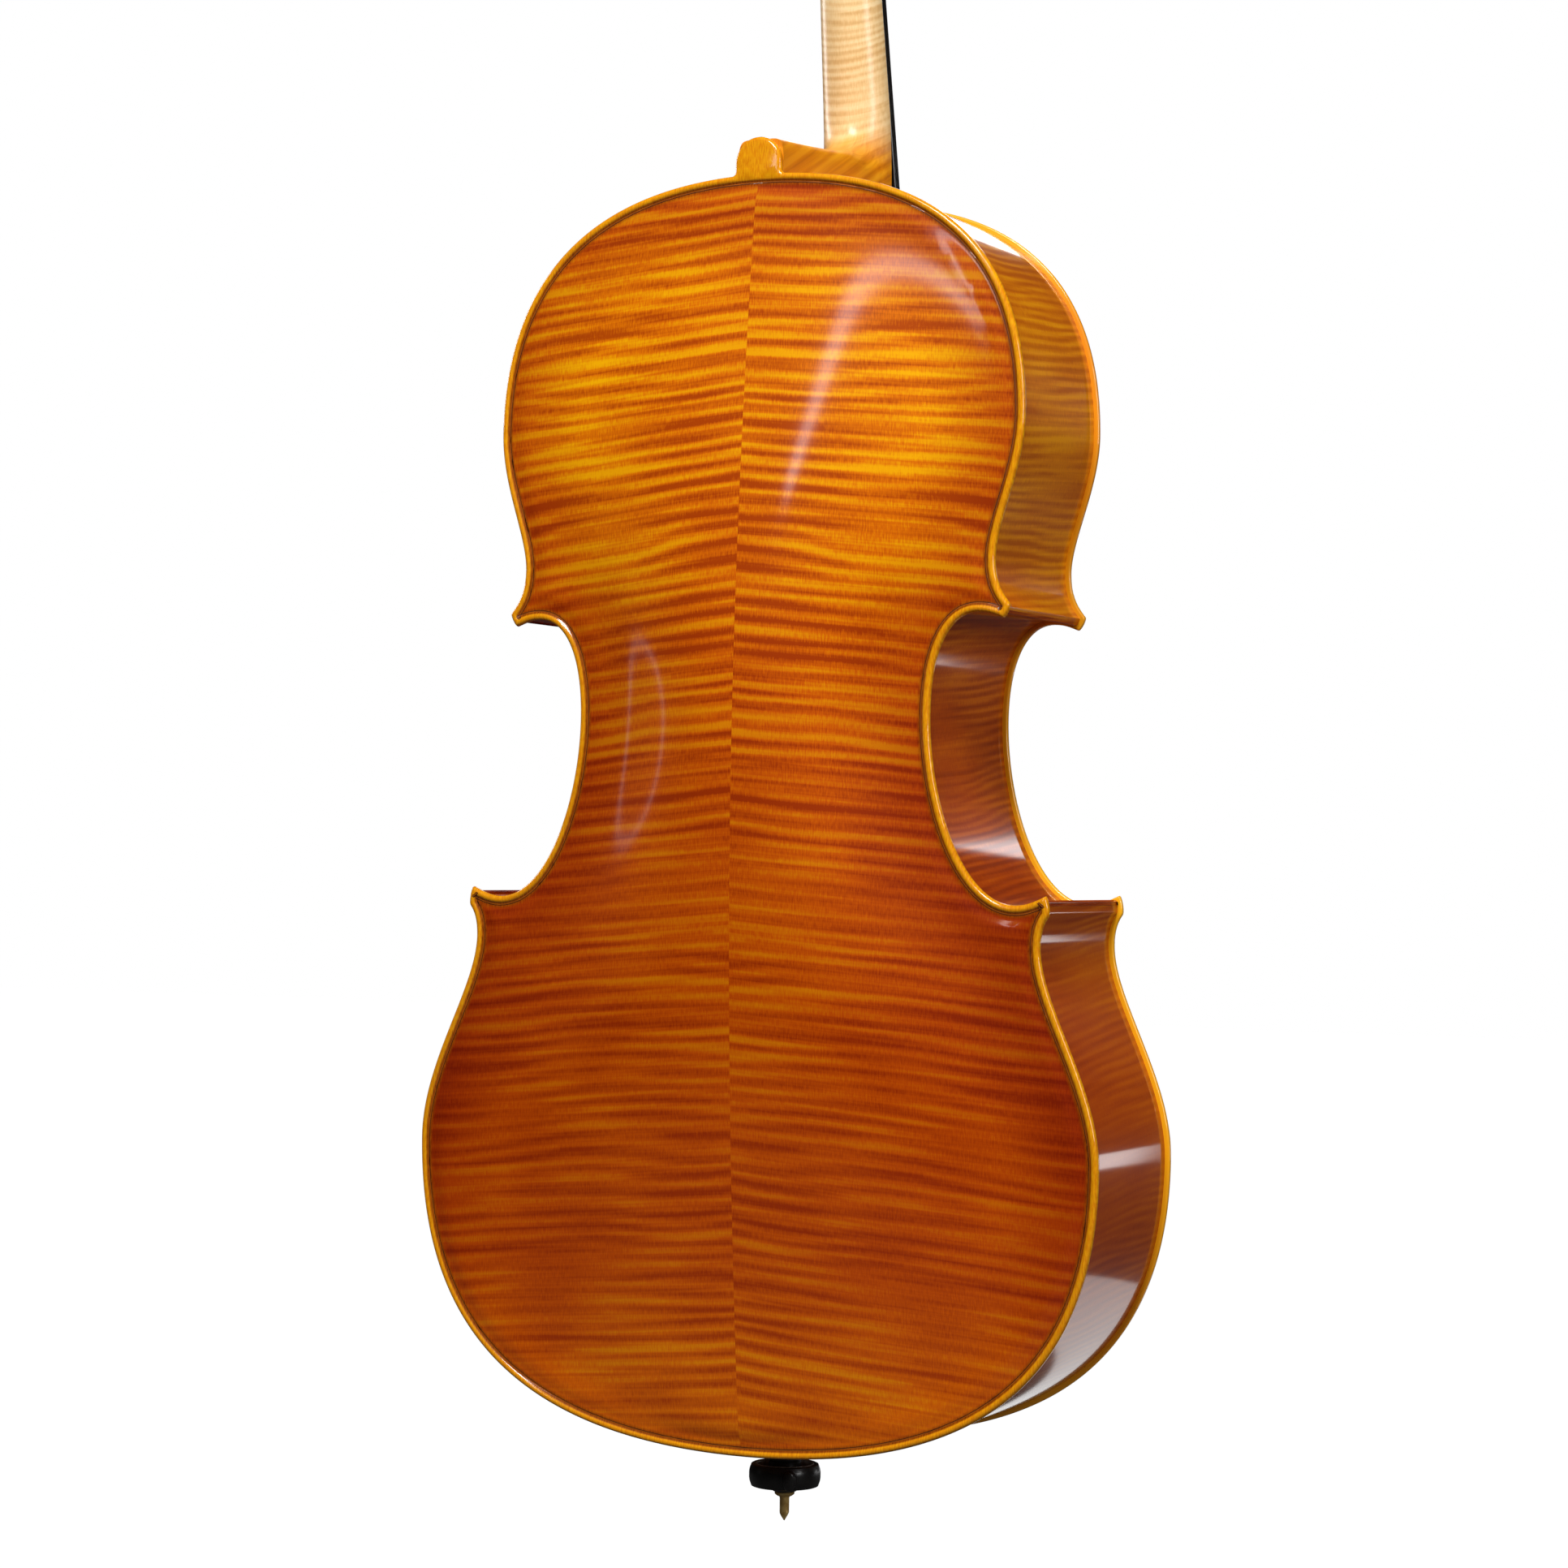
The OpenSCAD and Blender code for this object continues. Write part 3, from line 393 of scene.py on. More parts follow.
def varnished_spruce(name):
    """Straight, close-grained spruce under the same varnish."""
    finish = Finish(name, roughness=0.42, coat=1.0, coat_roughness=0.08, specular=0.35)
    x, _, z = finish.place()
    grain = finish.noise(finish.join(finish.maths("MULTIPLY", x, 640), 0.0,
                                     finish.maths("MULTIPLY", z, 1.6)), detail=2, roughness=0.55)
    pores = finish.noise(finish.join(finish.maths("MULTIPLY", x, 1600), 3.0,
                                     finish.maths("MULTIPLY", z, 38)), detail=2)
    cloud = finish.noise(finish.join(finish.maths("MULTIPLY", x, 7), 9.0,
                                     finish.maths("MULTIPLY", z, 4)), detail=2)
    wood = finish.ramp(finish.maths("MULTIPLY_ADD", pores, 0.25, finish.maths("MULTIPLY", grain, 0.75)),
                       (0.34, (158, 74, 12)), (0.5, (212, 122, 28)), (0.66, (236, 158, 52)))
    wood = finish.mix(0.5, wood, finish.ramp(cloud, (0.36, (172, 122, 96)), (0.62, (255, 255, 255))),
                      "MULTIPLY")
    edge = finish.value("edge")
    wood = finish.mix(finish.between(edge, 6.2, 9.4), linear((122, 56, 14)), wood)
    worn = finish.ramp(cloud, (0.35, EDGE_AMBER), (0.65, EDGE_GOLD))
    wood = finish.mix(finish.between(edge, 3.5, 4.4), worn, wood)
    finish.colour(wood)
    finish.bump(grain, 0.15, 0.0001)
    return finish.material


def neck_maple(name):
    """Bare, hand-polished maple that runs into varnish at the heel and the head."""
    finish = Finish(name, roughness=0.36, coat=0.35, coat_roughness=0.2, specular=0.25)
    x, y, z = finish.place()
    leaning = finish.maths("MULTIPLY_ADD", y, 0.5, z)
    along, across = finish.maths("MULTIPLY", leaning, 1000), finish.maths("MULTIPLY", x, 1000)
    bare, fleck = flame(finish, along, across, (222, 176, 112), (240, 202, 142), (250, 220, 166), 5.5, 21)
    varnish = flame(finish, along, across, (204, 112, 4), (232, 142, 8), (250, 168, 24), 9, 21)[0]
    wander = finish.noise(finish.join(finish.maths("MULTIPLY", x, 80), 4.0,
                                      finish.maths("MULTIPLY", z, 20)), detail=2)
    level = finish.maths("MULTIPLY_ADD", wander, 0.02, z)
    wood = finish.mix(finish.between(level, 0.832, 0.862), varnish, bare)
    wood = finish.mix(finish.between(level, 1.082, 1.1), wood, varnish)
    finish.colour(wood)
    finish.bump(fleck, 0.1, 0.00012)
    return finish.material


def plain_wood(name, dark, light, rough=0.6, scale=500, coat=0.0):
    """Unvarnished wood with straight grain up the body."""
    finish = Finish(name, roughness=rough, coat=coat, coat_roughness=0.2, specular=0.3)
    x, y, z = finish.place()
    grain = finish.noise(finish.join(finish.maths("MULTIPLY", x, scale), finish.maths("MULTIPLY", y, scale),
                                     finish.maths("MULTIPLY", z, 14)), detail=3)
    finish.colour(finish.ramp(grain, (0.33, dark), (0.67, light)))
    finish.bump(grain, 0.2, 0.0002)
    return finish.material


def ebony(name, light=(38, 31, 27), rough=0.32, coat=0.35):
    """Oiled ebony, nearly black, with faint brown grain lines."""
    finish = Finish(name, roughness=rough, coat=coat, coat_roughness=0.18, specular=0.45)
    x, y, z = finish.place()
    grain = finish.noise(finish.join(finish.maths("MULTIPLY", x, 900), finish.maths("MULTIPLY", y, 500),
                                     finish.maths("MULTIPLY", z, 12)), detail=3, roughness=0.6)
    finish.colour(finish.ramp(grain, (0.4, (12, 10, 9)), (0.7, light)))
    finish.roughness(finish.maths("MULTIPLY_ADD", grain, 0.2, rough - 0.1))
    finish.bump(grain, 0.12, 0.0001)
    return finish.material


def moulded(name, dark, light):
    """Smooth black moulding with a very fine, even surface."""
    finish = Finish(name, roughness=0.36, coat=0.4, coat_roughness=0.2, specular=0.4)
    spot = finish.node("ShaderNodeTexCoord").outputs["Object"]
    tone = finish.noise(spot, scale=900, detail=2)
    finish.colour(finish.ramp(tone, (0.35, dark), (0.65, light)))
    finish.bump(tone, 0.04, 0.00005)
    return finish.material


def metal(name, dark, light, rough, metallic=1.0):
    """Drawn or polished metal with faint wear in its colour and roughness, and one metallic value for the
    whole piece.
    """
    finish = Finish(name, roughness=rough, metallic=metallic)
    spot = finish.node("ShaderNodeTexCoord").outputs["Object"]
    wear = finish.noise(spot, scale=260, detail=3)
    finish.colour(finish.ramp(wear, (0.35, dark), (0.65, light)))
    finish.roughness(finish.maths("MULTIPLY_ADD", wear, 0.16, rough - 0.08))
    finish.bump(wear, 0.05, 0.0001)
    return finish.material


def wound(name, core, pitch):
    """A string's close flat winding."""
    finish = Finish(name, roughness=0.3, metallic=1.0)
    z = finish.place()[2]
    turns = finish.maths("SINE", finish.maths("MULTIPLY", z, 2 * pi / pitch))
    finish.colour(finish.ramp(finish.maths("MULTIPLY_ADD", turns, 0.5, 0.5),
                              (0.1, (96, 96, 100)), (0.8, core)))
    finish.bump(turns, 0.3, 0.0001)
    return finish.material


def silk(name, dark, light):
    """Fine thread that wraps the strings' ends, or the fibre of the tail cord."""
    finish = Finish(name, roughness=0.7, specular=0.25)
    spot = finish.node("ShaderNodeTexCoord").outputs["Object"]
    thread = finish.noise(spot, scale=2600, detail=2)
    finish.colour(finish.ramp(thread, (0.35, dark), (0.65, light)))
    finish.bump(thread, 0.5, 0.0002)
    return finish.material


FLAME_DARK, FLAME_MIDDLE, FLAME_LIGHT = (184, 76, 0), (234, 126, 0), (255, 186, 0)
maple_back = varnished_maple("varnished_maple_back", 9.6, 2.0, FLAME_DARK, FLAME_MIDDLE, FLAME_LIGHT, True)
maple_rib = varnished_maple("varnished_maple_ribs", 6, 5.0, (202, 102, 0), (230, 132, 0), (252, 166, 4),
                            False)
# Painted shade: the waist ribs take a darker copy of the rib varnish, for the shade on the hollow C-bouts.
maple_waist_painted_shade = varnished_maple("varnished_maple_waist_painted_shade", 6, 6.0, (170, 74, 0), (206, 102, 0), (236, 138, 8),
                              False)
maple_head = varnished_maple("varnished_maple_head", 8, 8.0, (136, 54, 4), (200, 102, 8), (240, 152, 24),
                             False)
spruce_top = varnished_spruce("varnished_spruce_top")
maple_neck = neck_maple("neck_maple")
maple_bridge = plain_wood("bridge_maple", (176, 128, 74), (222, 182, 126), 0.45, 420, 0.2)
spruce_inner = plain_wood("inner_spruce", (196, 156, 100), (226, 194, 142))
ebony_board = ebony("ebony_board")
ebony_fittings = ebony("ebony_fittings", (44, 33, 27), 0.26, 0.5)
black_ply = plain_wood("purfling_black", (58, 20, 0), (84, 34, 2), 0.4, 120, 0.9)
white_ply = plain_wood("purfling_white", (138, 66, 4), (168, 88, 8), 0.4, 120, 0.9)
endpin_black = moulded("endpin_black", (17, 14, 13), (34, 29, 27))
# Painted highlight: the pale band inside the endpin's hoop stands in for the gloss on the hoop's inner wall.
hoop_painted_highlight = metal("hoop_painted_highlight", (176, 172, 166), (226, 222, 214), 0.4, 0.3)
polished_steel = metal("polished_steel", (150, 152, 156), (206, 208, 212), 0.24)
string_steel = wound("string_winding", (214, 214, 218), 0.0007)
string_silk = silk("string_silk", (58, 10, 16), (124, 26, 34))
tuner_metal = metal("tuner_metal", (150, 148, 146), (214, 212, 208), 0.2)
knob_metal = metal("tuner_knob_metal", (128, 126, 124), (196, 194, 190), 0.26)
old_brass = metal("tip_brass", (196, 152, 78), (236, 198, 122), 0.44, 0.3)
cord_fibre = silk("tail_cord_fibre", (14, 13, 13), (46, 44, 42))


# ---- Body outline and arching ----

LOW_BOUT, LOW_NECK, LOW_TIP = np.array([(221.5, 178.0), (184.5, 302.0), (189.5, 320.0)])
LOW_TIP_END, LOW_HOOK, WAIST_POINT = np.array([(187.5, 331.5), (169.0, 326.0), (114.5, 435.0)])
UP_HOOK, UP_TIP, UP_TIP_END = np.array([(144.0, 493.5), (159.5, 489.8), (163.5, 498.0)])
UP_NECK, UP_BOUT, TOP_POINT = np.array([(154.0, 524.0), (171.5, 607.0), (0.0, 755.0)])


def half_outline(with_button=False):
    """Half of the body's outline, up the +X side from the lower middle to the upper middle."""
    top = bezier(UP_BOUT, UP_BOUT + (0, 83), TOP_POINT + (127, 0), TOP_POINT, 66)
    if with_button:
        centre = BUTTON_TOP - BUTTON_HALF
        kept = top[top[:, 0] > BUTTON_HALF + 1.5]
        root = [(BUTTON_HALF + 0.5, 755.4), (BUTTON_HALF, 757), (BUTTON_HALF, 759.5)]
        round_top = [(BUTTON_HALF * cos(a), centre + BUTTON_HALF * sin(a))
                     for a in np.linspace(0, pi / 2, 15)]
        top = np.concatenate([kept, root, round_top])
    return np.concatenate([
        [(0.0, 0.0)],
        bezier((0, 0), (166, 0), LOW_BOUT - (0, 104), LOW_BOUT, 80),
        bezier(LOW_BOUT, LOW_BOUT + (0, 46), LOW_NECK - (0, 32), LOW_NECK, 38),
        bezier(LOW_NECK, LOW_NECK + (0, 9), LOW_TIP - (3, 4), LOW_TIP, 8),
        bezier(LOW_TIP, LOW_TIP + (1.4, 1.8), LOW_TIP_END + (1.2, 0.6), LOW_TIP_END, 6),
        bezier(LOW_TIP_END, LOW_TIP_END - (5.5, 2.5), LOW_HOOK + (7, 0), LOW_HOOK, 8),
        bezier(LOW_HOOK, LOW_HOOK - (33, 0), WAIST_POINT - (0, 50), WAIST_POINT, 44),
        bezier(WAIST_POINT, WAIST_POINT + (0, 35), UP_HOOK - (19, 0), UP_HOOK, 28),
        bezier(UP_HOOK, UP_HOOK + (7, 0), UP_TIP - (4.5, -1.7), UP_TIP, 7),
        bezier(UP_TIP, UP_TIP + (1.2, -0.2), UP_TIP_END + (1.4, -1.2), UP_TIP_END, 6),
        bezier(UP_TIP_END, UP_TIP_END + (-3.5, 4.5), UP_NECK - (0, 15), UP_NECK, 10),
        bezier(UP_NECK, UP_NECK + (0, 21), UP_BOUT - (0, 32), UP_BOUT, 28),
        top])


BARE_OUTLINE = half_outline()
BACK_OUTLINE = half_outline(True)


def inset(outline, distance):
    """The half outline moved inwards, mitred where it turns."""
    edge = np.diff(outline, axis=0)
    edge /= np.linalg.norm(edge, axis=1)[:, None]
    normal = np.stack([-edge[:, 1], edge[:, 0]], -1)
    before = np.concatenate([[(0.0, 1.0)], normal])
    after = np.concatenate([normal, [(0.0, -1.0)]])
    share = 1 + (before * after).sum(1)
    share[0] = share[-1] = 2
    before[0], after[-1] = after[0], before[-1]
    moved = outline + distance * (before + after) / np.maximum(share, 0.4)[:, None]
    moved[0, 0] = moved[-1, 0] = 0
    return moved


def distance_to(outline, points, chunk=4000):
    """Distance from points to the outline's edges."""
    a, d = outline[:-1], np.diff(outline, axis=0)
    length = (d * d).sum(1)
    found = []
    for start in range(0, len(points), chunk):
        gap = points[start:start + chunk, None] - a
        t = np.clip((gap * d).sum(2) / length, 0, 1)
        found.append(np.sqrt(((gap - t[..., None] * d) ** 2).sum(2).min(1)))
    return np.concatenate(found)


def inside(polygon, points, chunk=8000):
    """Which points lie inside a closed polygon."""
    a, b = polygon, np.roll(polygon, -1, axis=0)
    found = []
    for start in range(0, len(points), chunk):
        x, y = points[start:start + chunk, :1], points[start:start + chunk, 1:]
        crosses = (a[:, 1] > y) != (b[:, 1] > y)
        with np.errstate(divide="ignore", invalid="ignore"):
            at = a[:, 0] + (y - a[:, 1]) * (b[:, 0] - a[:, 0]) / (b[:, 1] - a[:, 1])
        found.append((crosses & (x < at)).sum(1) % 2 == 1)
    return np.concatenate(found)


def field_width(z):
    """Half width of the arched field, which runs inside the outline."""
    a, b, c, end, top = LOW_BOUT[1], WAIST_POINT[1], UP_BOUT[1], 8, BODY - 8
    low, mid, up = HALF_LOW - 14, HALF_WAIST - 10, HALF_UP - 12
    return np.select(
        [(z <= end) | (z >= top), z < a, z < b, z < c],
        [0.01, low * np.sqrt(np.clip(1 - ((a - z) / (a - end)) ** 2, 0, 1)) + 0.01,
         low + (mid - low) * (1 - np.cos(pi * (z - a) / (b - a))) / 2,
         mid + (up - mid) * (1 - np.cos(pi * (z - b) / (c - b))) / 2],
        up * np.sqrt(np.clip(1 - ((z - c) / (top - c)) ** 2, 0, 1)) + 0.01)


def arch(x, z):
    long_arch = np.clip(np.sin(pi * np.clip(z, 0, BODY) / BODY), 0, 1) ** 0.9
    u = np.abs(x) / field_width(z)
    return long_arch * np.where(u >= 1, 0, (1 + np.cos(pi * np.minimum(u, 1) ** 1.25)) / 2)


# ---- Plates ----

BEAD = 2.3
CHANNEL_DEPTH = 1.3
LATTICE = 4.2
LEAN = 0.09
BASS_SHIFT = 4.4


def f_hole_loops():
    """One sound hole: two round eyes and a slim curling stem."""
    upper, lower = np.array([50.0, 414.0]), np.array([90.0, 301.0])
    spine = np.concatenate([
        [upper + (-5, 2)],
        bezier(upper + (-5, 2), (47, 432), (67, 436), (68, 406), 18),
        bezier((68, 406), (69, 388), (71.5, 335), (73, 313), 18),
        bezier((73, 313), (74, 283), (93, 282), lower + (6, -4), 18)])
    way = np.gradient(spine, axis=0)
    way /= np.linalg.norm(way, axis=1)[:, None]
    normal = np.stack([-way[:, 1], way[:, 0]], -1)
    gap = (0.9 + 2.4 * np.sin(pi * np.linspace(0, 1, len(spine))))[:, None]
    stem = np.concatenate([spine + gap * normal, (spine - gap * normal)[::-1]])
    turns = np.linspace(0, 2 * pi, 29)[:-1]
    eyes = [centre + radius * np.stack([np.cos(turns), np.sin(turns)], -1)
            for centre, radius in ((upper, 6.5), (lower, 8.5))]
    return [stem] + eyes


def plate_flat(outline, loops, boxes):
    """The half plate triangulated in x and z: rings follow the edge, a lattice fills the field."""
    points, edges = [], []

    def chain(line, closed=False):
        start = len(points)
        points.extend(map(tuple, line))
        edges.extend((start + i, start + i + 1) for i in range(len(line) - 1))
        if closed:
            edges.append((start + len(line) - 1, start))

    chain(np.concatenate([outline, [(0, z) for z in np.arange(outline[-1, 1] - 4, 1, -4.0)]]), True)
    for distance, line in [(d, outline) for d in (0.3, 0.8, 1.5, BEAD)] + [
            (d, BARE_OUTLINE) for d in (3.1, 3.8, 4.5, 5.2, 5.9, 6.7, 7.8, 9.2, 11.2, 13.6)]:
        ring = inset(line, distance)
        good = (distance_to(line, ring) > distance - 0.04) & (ring[:, 0] >= 0)
        run = []
        for point, keep in zip(ring, good):
            if keep:
                run.append(point)
            elif run:
                chain(run)
                run = []
        if run:
            chain(run)
    for loop in loops:
        chain(loop, True)
    for box in boxes:
        chain(box, True)
    step = LATTICE * sqrt(3) / 2
    rows = np.arange(step, BUTTON_TOP, step)
    lattice = np.concatenate([
        [(x, z) for x in np.arange(LATTICE * (0.5 if i % 2 else 1.0), HALF_LOW, LATTICE)]
        for i, z in enumerate(rows)])
    closed = np.concatenate([outline, [(0, 0)]])
    lattice = lattice[inside(closed, lattice)]
    lattice = lattice[distance_to(BARE_OUTLINE, lattice) > 15.5]
    for loop in loops:
        lattice = lattice[distance_to(np.concatenate([loop, loop[:1]]), lattice) > 1.6]
    points.extend(map(tuple, lattice))
    flat, _, faces = geometry.delaunay_2d_cdt([Vector(p) for p in points], edges, [], 0, 1e-4)[:3]
    flat = np.array([tuple(p) for p in flat])
    faces = np.array([f for f in faces if len(f) == 3])
    middle = flat[faces].mean(1)
    keep = inside(closed, middle)
    for loop in list(loops) + list(boxes):
        keep &= ~inside(np.asarray(loop, float), middle)
    faces = faces[keep]
    used, index = np.unique(faces, return_inverse=True)
    return flat[used], index.reshape(faces.shape)


def plate_profile(flat, outline, rise):
    """Heights of the plate's outer and inner faces above the middle of the ribs, and how far the edge is."""
    x, z = flat.T
    edge = distance_to(outline, flat)
    field = distance_to(BARE_OUTLINE, flat)
    field = np.where(inside(np.concatenate([BARE_OUTLINE, [(0, 0)]]), flat), field, 0)
    swell = rise * arch(x, z) * smooth((field - 5) / 15)
    gap = np.clip(BEAD - edge, 0, BEAD)
    rounding = BEAD - np.sqrt(BEAD ** 2 - gap ** 2)
    channel = CHANNEL_DEPTH * (smooth((field - 2.6) / 2.6) - smooth((field - 6.6) / 9))
    outer = RIB_HALF + PLATE - rounding - channel + swell
    inner_gap = np.clip(1 - edge, 0, 1)
    inner = RIB_HALF + 1 - np.sqrt(1 - inner_gap ** 2) + swell
    return outer, np.minimum(inner, outer - 1.2), field


def plate_piece(name, side, face, outline, rise, finish, loops=(), boxes=()):
    """One half of a plate. side is +1 or -1 in x, face is +1 for the back and -1 for the top."""
    flat, faces = plate_flat(outline, loops, boxes)
    outer, inner, edge = plate_profile(flat, outline, rise)
    x, z = flat.T
    count = len(flat)
    rim = {}
    for a, b, c in faces:
        for p, q in ((a, b), (b, c), (c, a)):
            rim[(p, q)] = rim.get((p, q), 0) + 1
    wall = [(p, q, q + count, p + count) for p, q in rim if (q, p) not in rim]
    shape = Shape()
    shape.add(np.concatenate([np.stack([x * side, outer * face, z], -1),
                              np.stack([x * side, inner * face, z], -1)]),
              [tuple(f) for f in faces] + [tuple(reversed(f + count)) for f in faces]
              + [tuple(reversed(f)) for f in wall])
    along = z + LEAN * x + (0 if side > 0 else BASS_SHIFT)
    across = x + 300
    both = [np.tile(v, 2) for v in (along, across, edge)]
    return piece(name + "_carved", shape, [finish], [name],
                 sharp=50, values=dict(zip(("along", "across", "edge"), both)))


def purfling_piece(name, face, gaps):
    """Three thin plies let into the channel: black, light and black."""
    shape = Shape()
    plies = ((0.0, 0.42, 0), (0.42, 0.98, 1), (0.98, PURFLING_WIDTH, 0))
    for side in (1, -1):
        for start, end, paint in plies:
            lines = [inset(BARE_OUTLINE, PURFLING_INSET + d) for d in (start, end)]
            tops = [plate_profile(line, BARE_OUTLINE, ARCH_BACK)[0] + 0.05 for line in lines]
            rings = []
            for i in range(len(BARE_OUTLINE)):
                if gaps and (lines[0][i, 0] < HEEL_FRONT_HALF):
                    continue
                a, b = lines[0][i], lines[1][i]
                high = min(tops[0][i], tops[1][i] + 0.02)
                rings.append([(a[0] * side, high * face, a[1]), (b[0] * side, tops[1][i] * face, b[1]),
                              (b[0] * side, (tops[1][i] - 1) * face, b[1]),
                              (a[0] * side, (high - 1) * face, a[1])])
            shape.loft(rings, paint)
    piece(name + "_plies", shape, [black_ply, white_ply], [name], sharp=60)


def make_plates():
    for side, part in ((1, "treble"), (-1, "bass")):
        plate_piece("back_plate_" + part, side, 1, BACK_OUTLINE, ARCH_BACK, maple_back)
        saddle_notch = [(-1, -1), (HEEL_FRONT_HALF, -1), (HEEL_FRONT_HALF, SADDLE_HEIGHT),
                        (-1, SADDLE_HEIGHT)]
        neck_notch = [(-1, HEEL_BOTTOM), (HEEL_FRONT_HALF, HEEL_BOTTOM), (HEEL_FRONT_HALF, 760), (-1, 760)]
        plate_piece("top_plate_" + part, side, -1, BARE_OUTLINE, ARCH_TOP, spruce_top, f_hole_loops(),
                    [np.array(saddle_notch, float), np.array(neck_notch, float)])
    purfling_piece("back_purfling", 1, False)
    purfling_piece("top_purfling", -1, True)


# ---- Ribs ----

RIB_ROWS = 7


def heel_half_at(y):
    """Half width of the neck's foot, which widens towards the strings."""
    return BUTTON_HALF + (HEEL_FRONT_HALF - BUTTON_HALF) * (RIB_HALF - y) / (2 * RIB_HALF + 40)


def rib_piece(name, side, first, last, ends_at_heel=False):
    """A bent rib between two places on the outline, given as index and share to the next point."""
    outer, inner = (inset(BARE_OUTLINE, d) for d in (OVERHANG, OVERHANG + RIB_THICK))

    def pick(line, place):
        index, share = place
        return line[index] if share == 0 else line[index] * (1 - share) + line[index + 1] * share

    def run(line):
        middle = list(line[first[0] + 1:last[0] + (1 if last[1] else 0)])
        return np.array([pick(line, first)] + middle + [pick(line, last)])

    outside, within = run(outer), run(inner)
    if ends_at_heel:
        keep = outside[:, 0] > HEEL_FRONT_HALF + 2
        outside, within = outside[keep], within[keep]
    reach = np.concatenate([[0], np.cumsum(np.linalg.norm(np.diff(outside, axis=0), axis=1))])
    heights = np.linspace(-RIB_HALF, RIB_HALF, RIB_ROWS)
    rings, along, across = [], [], []
    for i in range(len(outside)):
        ring = [(outside[i][0] * side, y, outside[i][1]) for y in heights]
        ring += [(within[i][0] * side, y, within[i][1]) for y in heights[::-1]]
        rings.append(ring)
        along += [reach[i] * 1.0 + 0.09 * y for y in list(heights) + list(heights[::-1])]
        across += list(heights + 400) + list(heights[::-1] + 400)
    if ends_at_heel:
        slope = (outside[-1] - outside[-2]) / abs(outside[-1][0] - outside[-2][0])
        tip = []
        for line, ys in ((outside, heights), (within, heights[::-1])):
            for y in ys:
                spot = line[-1] + slope * (line[-1][0] - heel_half_at(y))
                tip.append((spot[0] * side, y, spot[1]))
        rings.append(tip)
        along += [reach[-1] + 4 + 0.09 * y for y in list(heights) + list(heights[::-1])]
        across += list(heights + 400) + list(heights[::-1] + 400)
    shape = Shape().loft(rings)
    # Painted shade: the waist ribs take the darker copy of the rib varnish.
    finish = maple_waist_painted_shade if name.startswith("waist") else maple_rib
    piece(name + "_bent", shape, [finish], [name], sharp=35,
          values={"along": along, "across": across, "edge": [20.0] * len(along)})


def nearest(point):
    return int(np.argmin(((BARE_OUTLINE - point) ** 2).sum(1)))


def make_ribs():
    low, up = nearest(LOW_TIP) + 3, nearest(UP_TIP) + 3
    for side, part in ((1, "treble"), (-1, "bass")):
        rib_piece("lower_rib_" + part, side, (0, 0), (low, 0))
        rib_piece("waist_rib_" + part, side, (low, 0), (up, 0))
        rib_piece("upper_rib_" + part, side, (up, 0), (len(BARE_OUTLINE) - 1, 0), True)


# ---- Neck ----

def board_half(z):
    return (NUT_WIDTH + (BOARD_WIDTH - NUT_WIDTH) * (NECK_LENGTH - z) / BOARD_LENGTH) / 2


def neck_depth_at(z):
    return NECK_DEPTH[0] + (NECK_DEPTH[1] - NECK_DEPTH[0]) * z / NECK_LENGTH


def make_neck():
    """Sections fan round from the heel's root at the button to the neck's own sections."""
    throat = from_neck([(0, NECK_DEPTH[0], HEEL_THROAT)])[0][1:]
    ridge_top = BODY + 21
    ridge = np.concatenate([
        [(RIB_HALF, ridge_top)],
        bezier((RIB_HALF, ridge_top), (20, ridge_top + 3), (-15, ridge_top + 5), (-32, ridge_top + 9), 14),
        bezier((-32, ridge_top + 9), (-44, ridge_top + 12), throat - (0, 20), throat, 14)])
    count = len(ridge)
    foot = from_neck([(0, 0, 6)])[0][1:]
    neck_base = from_neck([(0, 0, HEEL_THROAT)])[0][1:]
    sections = []
    for i, (y, z) in enumerate(ridge):
        t = i / (count - 1)
        if i <= 14:
            base = np.array([max(y, BOARD_Y + 4), HEEL_BOTTOM])
            base[0] = y - 20 * smooth(i / 14)
        else:
            start = np.array([-52.0, HEEL_BOTTOM])
            turn_share = (i - 14) / (count - 15)
            path = bezier(start, (foot[0] + 2, HEEL_BOTTOM), (foot[0], HEEL_BOTTOM + 6), neck_base, 100)
            base = path[min(int(turn_share * 99), 99)]
        fan = smooth((t - 0.35) / 0.65)
        heel_half = heel_half_at(y)
        half = heel_half + (board_half(HEEL_THROAT) - heel_half) * fan
        power = 0.28 + (1 - 0.28) * smooth((t - 0.42) / 0.58)
        sections.append((base, np.array([y, z]), half, power))
    for z in np.linspace(HEEL_THROAT + 8, NECK_LENGTH, 26):
        base = from_neck([(0, 0, z)])[0][1:]
        back = from_neck([(0, neck_depth_at(z), z)])[0][1:]
        sections.append((base, back, board_half(z), 1.0))
    turns = np.linspace(0, pi, 33)
    rings = []
    for base, crest, half, power in sections:
        wide = np.sign(np.cos(turns)) * np.abs(np.cos(turns)) ** power
        tall = np.abs(np.sin(turns)) ** power
        spots = base + tall[:, None] * (crest - base)
        rings.append(np.stack([half * wide, spots[:, 0], spots[:, 1]], -1))
    piece("neck_carved", Shape().loft(rings), [maple_neck], ["neck"], sharp=60)


# ---- Pegbox and scroll ----

SCROLL_CENTRE = (-2, 178)
SCROLL_RADIUS = 29
SCROLL_TURNS = 2.55
SCROLL_DECAY = 0.075
EYE_HALF = 30


